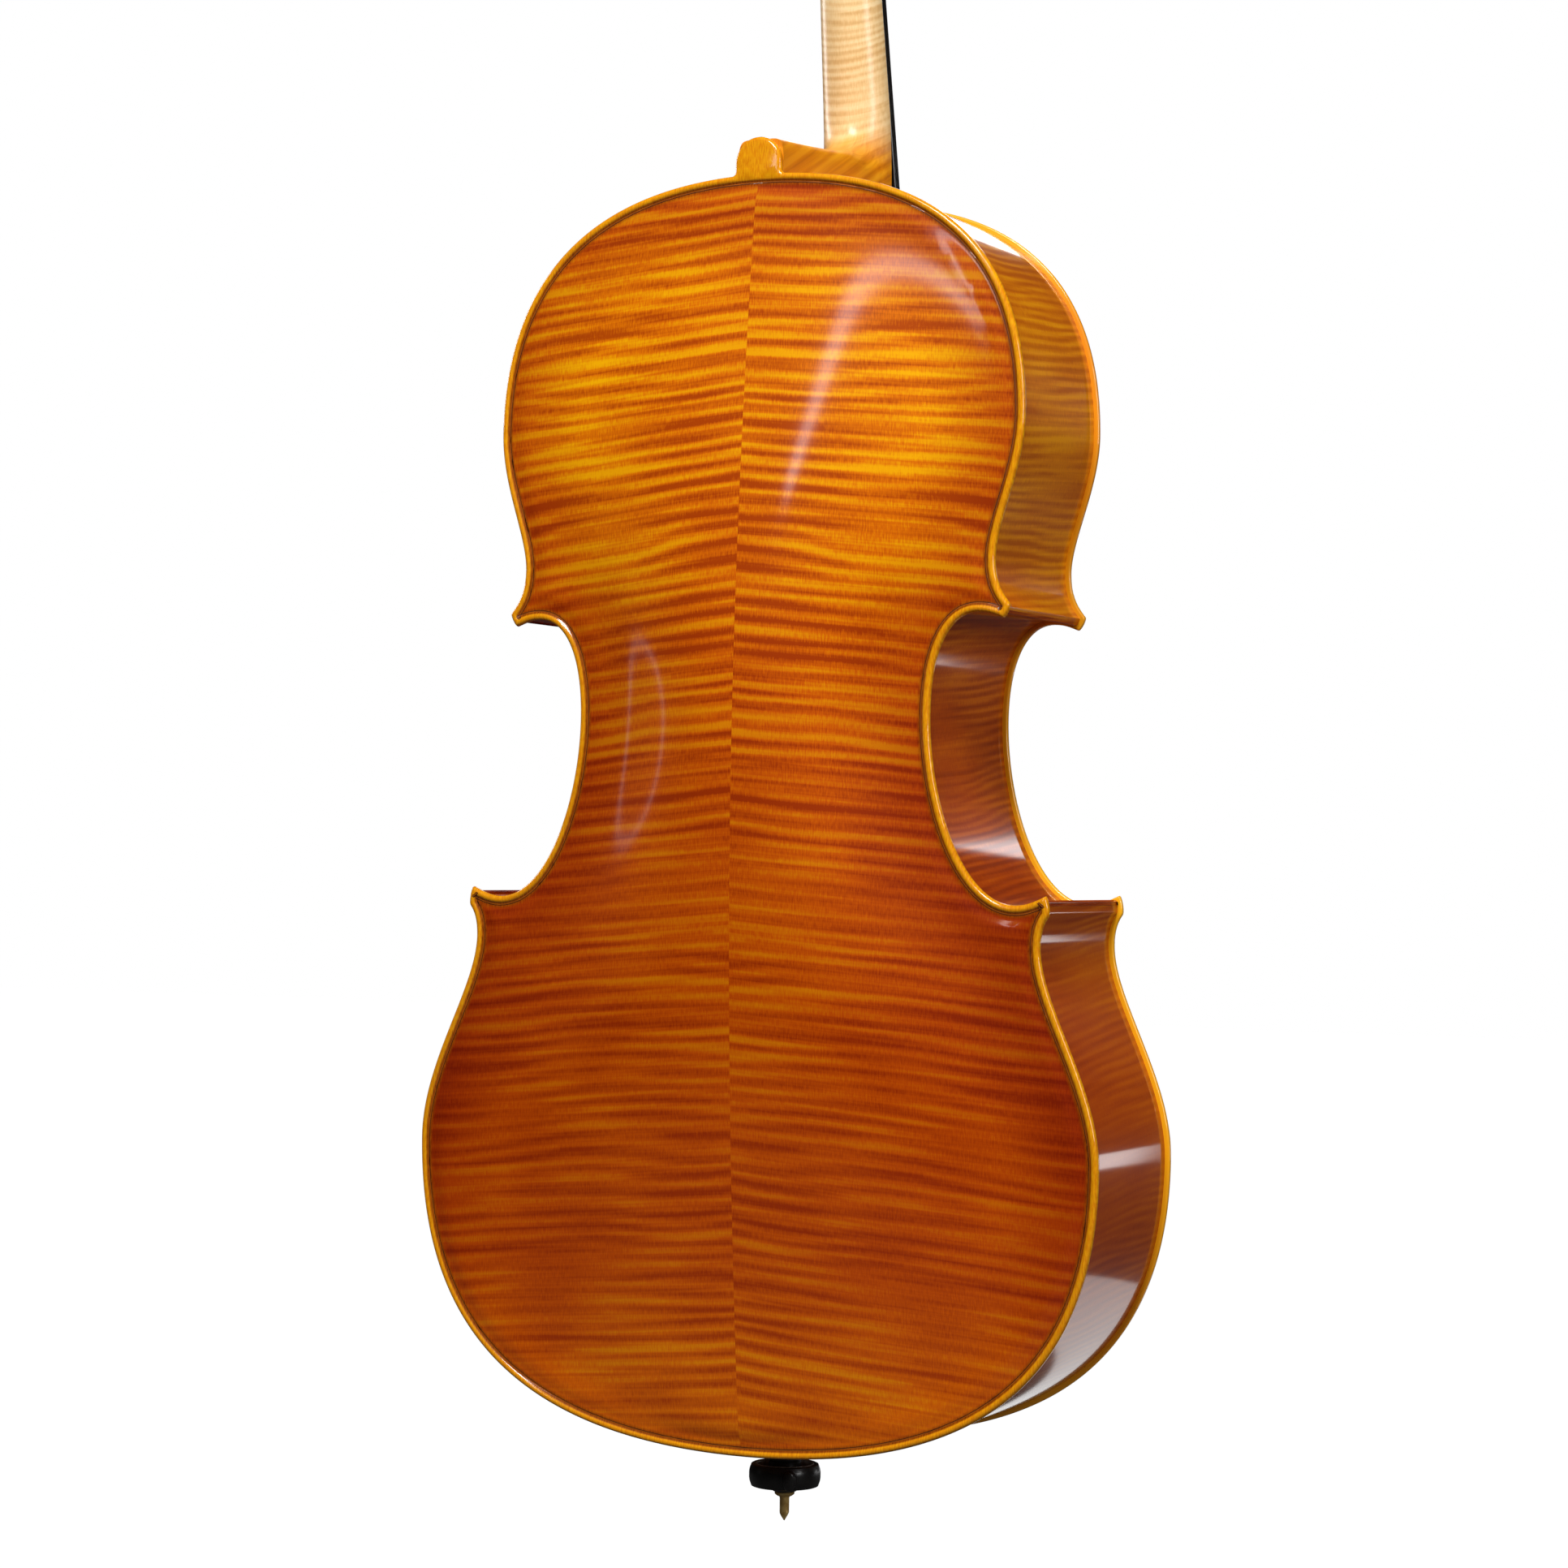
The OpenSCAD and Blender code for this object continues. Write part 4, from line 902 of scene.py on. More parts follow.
def head_section(half, back, front, floor, wall):
    """Half of a section from the back's middle round to the front's middle, as (x, depth)."""
    return [(0, back - 0.2), (0.3 * half, back - 1.3), (0.62 * half, back - 1.1), (0.86 * half, back),
            (0.95 * half, back - 0.5), (half, back - 2.2), (half - 0.5, back - 3.5),
            (half - 0.8, (back + front) / 2), (half - 0.4, front + 2.2), (half - 0.5, front + 0.6),
            (half - 1.2, front), (half - wall + 0.8, front), (half - wall, front + 0.8),
            (half - wall, floor), (0, floor)]


def mirrored_ring(section):
    """A closed ring from a half section in (x, depth)."""
    right = [(x, d) for x, d in section]
    left = [(-x, d) for x, d in section[1:-1]][::-1]
    return np.array(right + left)


def make_head():
    """The pegbox runs up in straight sections, then one skin rolls over into the scroll."""
    backs = np.array([(-10, 19), (0, 21.5), (10, 28), (24, 31.5), (40, 33), (80, 31), (120, 28),
                      (150, 27), (170, 27)], float)
    fronts = np.array([(-10, 0.6), (0, 0.4), (12, 0), (80, -2), (136, -3), (142, -1), (150, 6),
                       (160, 12), (170, 14.5)], float)
    rings, along, across = [], [], []
    levels = np.concatenate([[0, 3, 7, 11, 13.5, 15, 17], np.arange(22, 133, 5.5),
                             [134, 136.5, 138.5, 141, 145, 150, 155, 160, 165, 170]])
    for s in levels:
        back, front = np.interp(s, *backs.T), np.interp(s, *fronts.T)
        half = 17 + 4 * smooth(s / 9) - 0.03 * s
        depth = smooth((s - 12) / 4) * smooth((139 - s) / 4)
        floor = front + 0.9 + (23 - front) * depth
        ring = mirrored_ring(head_section(half, back, front, floor, 7))
        rings.append(np.stack([ring[:, 0], ring[:, 1], np.full(len(ring), float(s))], -1))
        along += [s] * len(ring)
        across += list(ring[:, 0] + 60)
    steps = int(SCROLL_TURNS * 44)
    for k in range(1, steps + 1):
        a = 2 * pi * SCROLL_TURNS * k / steps
        reach = SCROLL_RADIUS * exp(-SCROLL_DECAY * a)
        within = SCROLL_RADIUS * exp(-SCROLL_DECAY * (a + 2 * pi)) - 1.5
        half = 12.5 + (EYE_HALF - 2 - 12.5) * (a / (2 * pi * SCROLL_TURNS)) ** 0.9
        ring = mirrored_ring(head_section(half, reach, within, within + 0.9, 4))
        radius = ring[:, 1]
        rings.append(np.stack([ring[:, 0], SCROLL_CENTRE[0] + radius * cos(a),
                               SCROLL_CENTRE[1] + radius * sin(a)], -1))
        along += [170 + a * 18] * len(ring)
        across += list(ring[:, 0] + 60)
    shape = Shape().loft([from_head(r) for r in rings])
    eye = [(0.2, -EYE_HALF), (6.6, -EYE_HALF), (7.6, -EYE_HALF + 1), (7.9, -EYE_HALF + 2.5),
           (7.9, EYE_HALF - 2.5), (7.6, EYE_HALF - 1), (6.6, EYE_HALF), (0.2, EYE_HALF)]
    before = len(shape.points)
    shape.lathe(eye, along_x((0,) + SCROLL_CENTRE, 1, from_head), 32)
    added = len(shape.points) - before
    along += [300.0] * added
    across += [60.0] * added
    shelf = np.array([(-15.8, 0.3, 0), (15.8, 0.3, 0), (15.8, 8, 0), (-15.8, 8, 0)])
    before = len(shape.points)
    shape.loft([from_neck(shelf + (0, 0, NECK_LENGTH + rise)) for rise in (0, SHELF_RISE)])
    along += [0.0] * (len(shape.points) - before)
    across += [60.0] * (len(shape.points) - before)
    piece("pegbox_and_scroll_carved", shape, [maple_head], ["pegbox_and_scroll"], sharp=48,
          values={"along": along, "across": across, "edge": [20.0] * len(along)})


# ---- Fingerboard, nut, saddle and bridge ----

def board_crown(x, half):
    return np.sqrt(BOARD_RADIUS ** 2 - np.square(x)) - sqrt(BOARD_RADIUS ** 2 - half ** 2)


def board_ring(z, extra=0.0):
    """A section of the fingerboard with eased long edges."""
    half = board_half(z)
    x = half * np.linspace(-1, 1, 25)
    x[0], x[-1] = -half + 0.4, half - 0.4
    crown = [(v, -BOARD_SIDE - extra - c, z) for v, c in zip(x, board_crown(x, half))]
    corner = -BOARD_SIDE - extra + 0.6
    left = [(half - 0.3, 0, z), (-half + 0.3, 0, z), (-half, -0.3, z), (-half, corner, z)]
    return left + crown + [(half, corner, z), (half, -0.3, z)]


def make_board():
    low = NECK_LENGTH - BOARD_LENGTH
    rings = []
    for z, shrink in ((low, 0.97), (low + 0.5, 0.99), (low + 1.2, 1.0)):
        ring = np.array(board_ring(z))
        ring[:, 0] *= shrink
        ring[:, 1] = ring[:, 1] * shrink - 0.12
        rings.append(ring)
    for z in np.linspace(low + 20, NECK_LENGTH, 24):
        rings.append(np.array(board_ring(z)))
    shape = Shape().loft([from_neck(r) for r in rings])
    piece("fingerboard_planed", shape, [ebony_board], ["fingerboard"], sharp=35)


def make_nut():
    rings = []
    for z, drop in ((0.02, 0.3), (0.6, 0), (2, 0), (4.5, 0.7), (6.5, 1.8), (8, 3.6)):
        ring = np.array(board_ring(NECK_LENGTH, 0.6))
        ring[:, 1] = np.where(ring[:, 1] < -4, ring[:, 1] + drop, ring[:, 1])
        ring[:, 2] += z
        rings.append(from_neck(ring))
    piece("nut_filed", Shape().loft(rings), [ebony_board], ["nut"], bevel=0.25, sharp=35)


def make_saddle():
    profile = [(-RIB_HALF + 0.5, 0.05), (-RIB_HALF + 0.5, SADDLE_HEIGHT - 0.1),
               (SADDLE_Y + 5.5, SADDLE_HEIGHT - 0.1), (SADDLE_Y + 2.6, 8.2), (SADDLE_Y + 1.8, 6.6),
               (SADDLE_Y + 2.0, 5), (SADDLE_Y + 3.2, 2.9), (SADDLE_Y + 5.4, 1.2), (SADDLE_Y + 9, 0.05)]
    rings = []
    for x in np.linspace(-1, 1, 15):
        tuck = 1.6 * smooth((abs(x) - 0.7) / 0.3)
        rings.append([(x * (HEEL_FRONT_HALF - 0.05), y + (tuck if y < -RIB_HALF - 5 else 0), z)
                      for y, z in profile])
    piece("saddle_filed", Shape().loft(rings), [ebony_board], ["saddle"], sharp=35)


def bridge_drop(x):
    return BRIDGE_RADIUS - np.sqrt(BRIDGE_RADIUS ** 2 - np.square(x))


def top_rise(x, z):
    """Height of the arched top above its edge, at one point."""
    return ARCH_TOP * float(arch(np.array([float(x)]), np.array([float(z)]))[0])


def foot_level(x):
    """Where a foot's sole lies on the arched top, measured up from the middle of the foot."""
    return top_rise(x, BRIDGE_Z - BRIDGE_FOOT_Z) - top_rise(BRIDGE_FOOT_X, BRIDGE_Z) + BRIDGE_GAP


def bridge_loops(tall):
    """Outline of the bridge and its openings, drawn as (x, height above the feet)."""
    crown_x = np.linspace(0, 32.2, 14)
    thick_side = 0.5 + 0.1 + 0.5 * crown_x / 33
    crown = np.stack([crown_x, tall - bridge_drop(crown_x) - thick_side], -1)
    shoulder = crown[-1]
    half = np.concatenate([
        crown,
        bezier(shoulder, shoulder + (2.4, -1), (37, tall - 16), (37.4, tall - 24), 8),
        bezier((37.4, tall - 24), (37.6, tall - 31), (29, tall - 34), (28.6, tall - 40), 8),
        bezier((28.6, tall - 40), (28.2, tall - 46), (33.5, tall - 46), (35, tall - 50), 8),
        bezier((35, tall - 50), (38, 27), (40, 22), (44.5, 15), 8),
        bezier((44.5, 15), (47.5, 10), (47.2, 6), (46.6, foot_level(46.6)), 6),
        [(x, foot_level(x)) for x in (44, 40, 36, 32, 28, 24)],
        bezier((24, foot_level(24)), (23.6, 9), (21, 15), (10, 17), 10),
        bezier((10, 17), (5, 17.6), (3, 14), (0, 14), 6)])
    outline = np.concatenate([half, [(-x, h) for x, h in half[1:-1][::-1]]])
    heart_h = tall * 0.53
    heart_half = np.concatenate([
        [(0, heart_h + 3.5)],
        bezier((0, heart_h + 3.5), (1, heart_h + 9), (8.5, heart_h + 9), (8.4, heart_h + 3), 10),
        bezier((8.4, heart_h + 3), (8, heart_h - 3), (2, heart_h - 6), (1.6, heart_h - 13), 10),
        [(0, heart_h - 14)]])
    heart = np.concatenate([heart_half, [(-x, h) for x, h in heart_half[1:-1][::-1]]])
    kidneys = []
    for side in (1, -1):
        centre = np.array([24.0, tall * 0.57])
        shape = np.concatenate([
            [centre + (-7, 2)],
            bezier(centre + (-7, 2), centre + (-6, 10), centre + (6, 10), centre + (7, 3), 10),
            bezier(centre + (7, 3), centre + (7.5, -3), centre + (3, -9), centre + (-2, -8), 10),
            bezier(centre + (-2, -8), centre + (-5, -7), centre + (-7.5, -3), centre + (-7, 2), 10)[:-1]])
        kidneys.append(np.stack([shape[:, 0] * side, shape[:, 1]], -1))
    return outline, [heart] + kidneys


def sheet_with_holes(outline, holes, spacing):
    """Triangulates an outline with openings, and fills it with a lattice."""
    points, edges = [], []
    for loop in [outline] + holes:
        start, n = len(points), len(loop)
        points.extend(map(tuple, loop))
        edges.extend((start + i, start + (i + 1) % n) for i in range(n))
    low, high = outline.min(0), outline.max(0)
    xs, ys = np.meshgrid(np.arange(low[0], high[0], spacing), np.arange(low[1], high[1], spacing))
    fill = np.stack([xs.ravel(), ys.ravel()], -1)
    for loop in [outline] + holes:
        fill = fill[distance_to(np.concatenate([loop, loop[:1]]), fill) > spacing * 0.6]
    points.extend(map(tuple, fill[inside(outline, fill)]))
    flat, _, faces = geometry.delaunay_2d_cdt([Vector(p) for p in points], edges, [], 0, 1e-4)[:3]
    flat, faces = np.array([tuple(p) for p in flat]), np.array([f for f in faces if len(f) == 3])
    middle = flat[faces].mean(1)
    keep = inside(outline, middle)
    for loop in holes:
        keep &= ~inside(loop, middle)
    faces = faces[keep]
    used, index = np.unique(faces, return_inverse=True)
    return flat[used], index.reshape(faces.shape)


def slab_shape(flat, faces, front, back):
    """A closed slab from a flat sheet; front and back place its two faces."""
    count = len(flat)
    rim = {(p, q) for a, b, c in faces for p, q in ((a, b), (b, c), (c, a))}
    wall = [(p, q, q + count, p + count) for p, q in rim if (q, p) not in rim]
    return Shape().add(np.concatenate([front(flat), back(flat)]),
                       [tuple(f) for f in faces] + [tuple(reversed(f + count)) for f in faces]
                       + [tuple(reversed(f)) for f in wall])


def make_bridge():
    belly = -RIB_HALF - PLATE - top_rise(BRIDGE_FOOT_X, BRIDGE_Z)
    tall = belly - BRIDGE_Y
    flat, faces = sheet_with_holes(*bridge_loops(tall), 4)

    def half_thick(h):
        return BRIDGE_FOOT_Z - (BRIDGE_FOOT_Z - 1.6) * np.clip(h / tall, 0, 1) ** 0.8

    def face_at(side):
        return lambda p: np.stack([p[:, 0], belly - p[:, 1], BRIDGE_Z + side * half_thick(p[:, 1])], -1)

    piece("bridge_carved", slab_shape(flat, faces, face_at(1), face_at(-1)), [maple_bridge], ["bridge"],
          bevel=0.35, sharp=50)


# ---- Tailpiece, tuners and tail cord ----

def tail_half_at(z):
    return TAIL_HALF[0] + (TAIL_HALF[1] - TAIL_HALF[0]) * (z - TAIL_ENDS[0]) / (TAIL_ENDS[1] - TAIL_ENDS[0])


def tail_ring(z, low, high, count=19, tuck=0.0):
    """Section of the tailpiece between two x values, with a crowned front."""
    half = tail_half_at(z)
    x = np.linspace(low, high, count)
    front = -1 - 4.5 * (1 - np.clip(np.abs(x) / half, 0, 1) ** 2) + tuck
    return [(high, 4.4 - tuck * 0.5, z), (high - 0.6, 5 - tuck * 0.5, z), (low + 0.6, 5 - tuck * 0.5, z),
            (low, 4.4 - tuck * 0.5, z)] + [(v, f, z) for v, f in zip(x, front)]


def make_tailpiece():
    shape = Shape()
    shoulder = PIVOT_HEIGHT - 5
    ends = [(TAIL_ENDS[0], 2.2), (TAIL_ENDS[0] + 1, 1.2), (TAIL_ENDS[0] + 3, 0.4), (TAIL_ENDS[0] + 7, 0)]
    rings = [tail_ring(z, -tail_half_at(z) + tuck, tail_half_at(z) - tuck, 31, tuck) for z, tuck in ends]
    rings += [tail_ring(z, -tail_half_at(z), tail_half_at(z), 31) for z in np.linspace(40, shoulder, 12)]
    shape.loft([from_tail(r) for r in rings])
    slot = 3.2
    walls = [-100.0] + [v for x in sorted(TAIL_X) for v in (x - slot, x + slot)] + [100.0]
    for low, high in zip(walls[::2], walls[1::2]):
        rings = []
        for z, tuck in ((shoulder - 0.5, 0), (238, 0), (242, 0.3), (244.2, 0.9), (TAIL_ENDS[1], 1.8)):
            half = tail_half_at(z)
            rings.append(tail_ring(z, max(low, -half), min(high, half), 13, tuck))
        shape.loft([from_tail(r) for r in rings])
    fret = []
    for z in (PIVOT_HEIGHT - 11, PIVOT_HEIGHT - 9.6, PIVOT_HEIGHT - 8.2):
        proud = 0.9 if z == PIVOT_HEIGHT - 9.6 else 0.1
        half = tail_half_at(z) - 0.4
        x = np.linspace(-half, half, 31)
        front = -1 - 4.5 * (1 - (np.abs(x) / tail_half_at(z)) ** 2) - proud
        outer = [(v, f, z) for v, f in zip(x, front)]
        fret.append(outer + [(v, f + 1.4, z) for v, f, z in outer[::-1]])
    shape.loft([from_tail(r) for r in fret])
    piece("tailpiece_shaped", shape, [ebony_fittings], ["tailpiece"], sharp=40)


def along_tail_y(x, z):
    """Places a turned shape's axis along the tailpiece's own y."""
    def frame_of(p):
        return from_tail(np.stack([p[:, 0] + x, p[:, 2], p[:, 1] + z], -1))
    return frame_of


def make_tuners():
    for i, letter in enumerate(STRINGS):
        x = TAIL_X[i]
        arm = np.array([(3.5, 206), (3.5, 222), (1.6, 227), (1.5, 236), (-5.4, 237.2), (-6, 238.6),
                        (-5.6, 241.6), (3.4, 241.8), (5, 240.4), (6.4, 236), (6.5, 230), (6.5, 207),
                        (5.8, 206)], float)
        rings = [[(x + w * side, y, z) for y, z in arm]
                 for side, w in ((-1, 2.8), (-1, 2.7), (1, 2.7), (1, 2.8))]
        shape = Shape().loft([from_tail(rings[0]), from_tail(rings[3])])
        piece(f"tuner_lever_{letter}_arm", shape, [tuner_metal], [f"tuner_lever_{letter}"],
              f"tuner_lever_{letter}_body", bevel=0.3, sharp=30)
        threads = []
        for k in range(24):
            y = -8.4 + 0.46 * k
            threads += [(1.46, y), (1.3, y + 0.23)]
        profile = [(0.05, -12), (1.1, -12), (1.45, -11.7), (1.45, -8.6)] + threads + [(1.1, 3.1), (0.05, 3.2)]
        piece(f"tuner_screw_{letter}_thread", Shape().lathe(profile, along_tail_y(x, SCREW_HEIGHT), 20),
              [tuner_metal], [f"tuner_screw_{letter}"], f"tuner_screw_{letter}_body", sharp=50)
        knob = [(1.7, -15), (3.4, -15), (4.1, -14.7), (4.6, -14.1), (4.6, -10.4), (4.0, -9.7), (2.8, -9.3),
                (2.6, -8.6), (1.7, -8.6)]
        piece(f"tuner_knob_{letter}_knurled", Shape().lathe(knob, along_tail_y(x, SCREW_HEIGHT), 96,
              flutes=24, flute_depth=0.35, fluted=(2, 3, 4)), [knob_metal], [f"tuner_knob_{letter}"],
              f"tuner_knob_{letter}_body", sharp=45)
    pin = [(0.05, -26), (0.9, -26), (1.2, -25.7), (1.2, 25.7), (0.9, 26), (0.05, 26)]
    centre = (0, 3, PIVOT_HEIGHT)
    piece("tuner_pivot_pin_turned", Shape().lathe(pin, along_x(centre, 1, from_tail), 20), [polished_steel],
          ["tuner_pivot_pin"])


def rounded(path, rounds=3):
    """Cuts a path's corners, and keeps its ends."""
    path = np.asarray(path, float)
    for _ in range(rounds):
        a, b = path[:-1], path[1:]
        cut = np.stack([a * 0.75 + b * 0.25, a * 0.25 + b * 0.75], 1).reshape(-1, 3)
        path = np.concatenate([path[:1], cut, path[-1:]])
    return path


def make_tail_cord():
    reach = PLUG_RADIUS + 1.7
    low = from_tail([(7.5, 0, TAIL_ENDS[0] + 6), (7.5, 0, TAIL_ENDS[0] - 4)])
    run = [low[0], low[1], (7.5, SADDLE_Y, SADDLE_Z + 3), (8, -RIB_HALF - 6, -3.4),
           (10.5, -RIB_HALF + 22, -6.4), (reach, -6, -6.5), (reach, 3, -6.5)]
    bend = [(reach * cos(a), 3 + (reach - 3) * sin(a), -6.5) for a in np.linspace(0.2, pi - 0.2, 9)]
    path = rounded(run + bend + [(-x, y, z) for x, y, z in run[::-1]], 2)
    piece("tail_cord_laid", Shape().tube(path, 1.6, 14), [cord_fibre], ["tail_cord"])


# ---- Strings and pegs ----

def peg_radius_at(x):
    return PEG_TAPER[1] + (PEG_TAPER[0] - PEG_TAPER[1]) * (x + PEG_REACH[1]) / sum(PEG_REACH)


COIL_BASE = peg_radius_at(16) + 0.05


def string_points(i):
    """The ball, the bridge, the nut and the meeting with the peg's coil."""
    r = STRING_RADII[i]
    ball = from_tail([(TAIL_X[i], -2 + bridge_drop(TAIL_X[i]) * BALL_DROP, BALL_HEIGHT)])[0]
    top = np.array([BRIDGE_X[i], BRIDGE_Y + bridge_drop(BRIDGE_X[i]), BRIDGE_Z])
    at_nut = (NUT_X[i], -BOARD_SIDE - 0.65 - r - float(board_crown(NUT_X[i], NUT_WIDTH / 2)))
    nut, leaving = from_neck([at_nut + (NECK_LENGTH,), at_nut + (NECK_LENGTH + 8,)])
    coil = from_head([(PEG_SIDES[i] * COIL_X[i], PEG_DEPTH - COIL_BASE - 3 * r - 0.4, PEG_HEIGHTS[i] - 3)])[0]
    return ball, top, nut, leaving, coil


def make_strings():
    for i, letter in enumerate(STRINGS):
        r = STRING_RADII[i]
        ball, top, nut, leaving, coil = string_points(i)
        way = unit(top - ball)
        shape = Shape()
        turns = np.radians(np.arange(-80, 61, 10))
        bead = [ball + 2.6 * sin(a) * way for a in turns]
        after = [top + (nut - top) * t for t in (0.02, 0.5, 0.93)]
        speaking = [ball + way * 2.6, ball + (top - ball) * 0.4, top - way * 2, top]
        path = bead + speaking + after + [nut, leaving, coil]
        radii = [2.6 * cos(a) for a in turns] + [r + 0.12, r + 0.12, r + 0.1] + [r] * 7
        paint_from = len(shape.points)
        shape.tube(path, radii, 12)
        count = len(shape.points) - paint_from
        rings = np.repeat(np.arange(len(path)), 12)[:count]
        silk_lower, silk_upper = len(bead) + 1, len(path) - 3
        shape.paint = [int(max(rings[j] for j in face) <= silk_lower
                           or min(rings[j] for j in face) >= silk_upper) for face in shape.faces]
        piece(f"string_{letter}_strand", shape, [string_steel, string_silk], [f"string_{letter}"],
              sharp=70)


def make_windings_and_pegs():
    for i, letter in enumerate(STRINGS):
        side, centre, r = PEG_SIDES[i], (0, PEG_DEPTH, PEG_HEIGHTS[i]), STRING_RADII[i]
        place = along_x(centre, side, from_head)
        turns = np.linspace(0, 2 * pi * COIL_TURNS, 28 * COIL_TURNS)
        start = COIL_X[i] - 2.5 * COIL_PITCH
        line = np.stack([(COIL_BASE + r) * np.cos(turns), (COIL_BASE + r) * np.sin(turns),
                         start + COIL_PITCH * turns / (2 * pi)], -1)
        piece(f"winding_{letter}_coil", Shape().tube(place(line), r, 8), [string_silk], [f"winding_{letter}"],
              f"peg_{letter}_body")
        taper = [(peg_radius_at(out), out) for out in (-24.4, 0, 22)]
        shank = [(0.05, -25.4), (4.4, -25.4), (5.3, -25)] + taper + [
            (7.3, 23.4), (8.6, 24), (9.4, 25), (9.5, 26.4), (9.0, 27.6), (7.4, 28.4), (6.4, 29.4),
            (6.9, 30.2), (6.6, 31), (5.2, 32.4), (4.8, 35), (5.2, 39), (5.6, 43)]
        shape = Shape().lathe(shank + [(0.05, 43.5)], place, 40)
        rings = []
        spread = np.linspace(0, 2 * pi, 41)[:-1]
        for t in np.linspace(-1, 1, 27) * 0.998:
            x = 56 + 16 * t
            tall = 16 * sqrt(1 - t * t) * (1 - 0.1 * exp(-((t - 0.05) / 0.3) ** 2))
            thick = 4.9 * (1 - t * t) ** 0.35 * (0.62 + 0.38 * abs(t) ** 1.5)
            bulge = np.abs(np.sin(spread)) ** 1.2
            rings.append(place(np.stack([thick * np.cos(spread) * (0.72 + 0.28 * bulge),
                                         tall * np.sin(spread), np.full(len(spread), x)], -1)))
        shape.loft(rings)
        piece(f"peg_{letter}_turned", shape, [ebony_fittings], [f"peg_{letter}"],
              f"peg_{letter}_body", sharp=50)


# ---- Endpin ----

def upright(p):
    return p


def clamp_way(p):
    """Places a turned shape's axis along the thumbscrew, level with it."""
    out, side_way, up = p[:, 2], p[:, 0], p[:, 1]
    return np.stack([-out * sin(CLAMP_TURN) + side_way * cos(CLAMP_TURN),
                     out * cos(CLAMP_TURN) + side_way * sin(CLAMP_TURN), up + CLAMP_Z], -1)


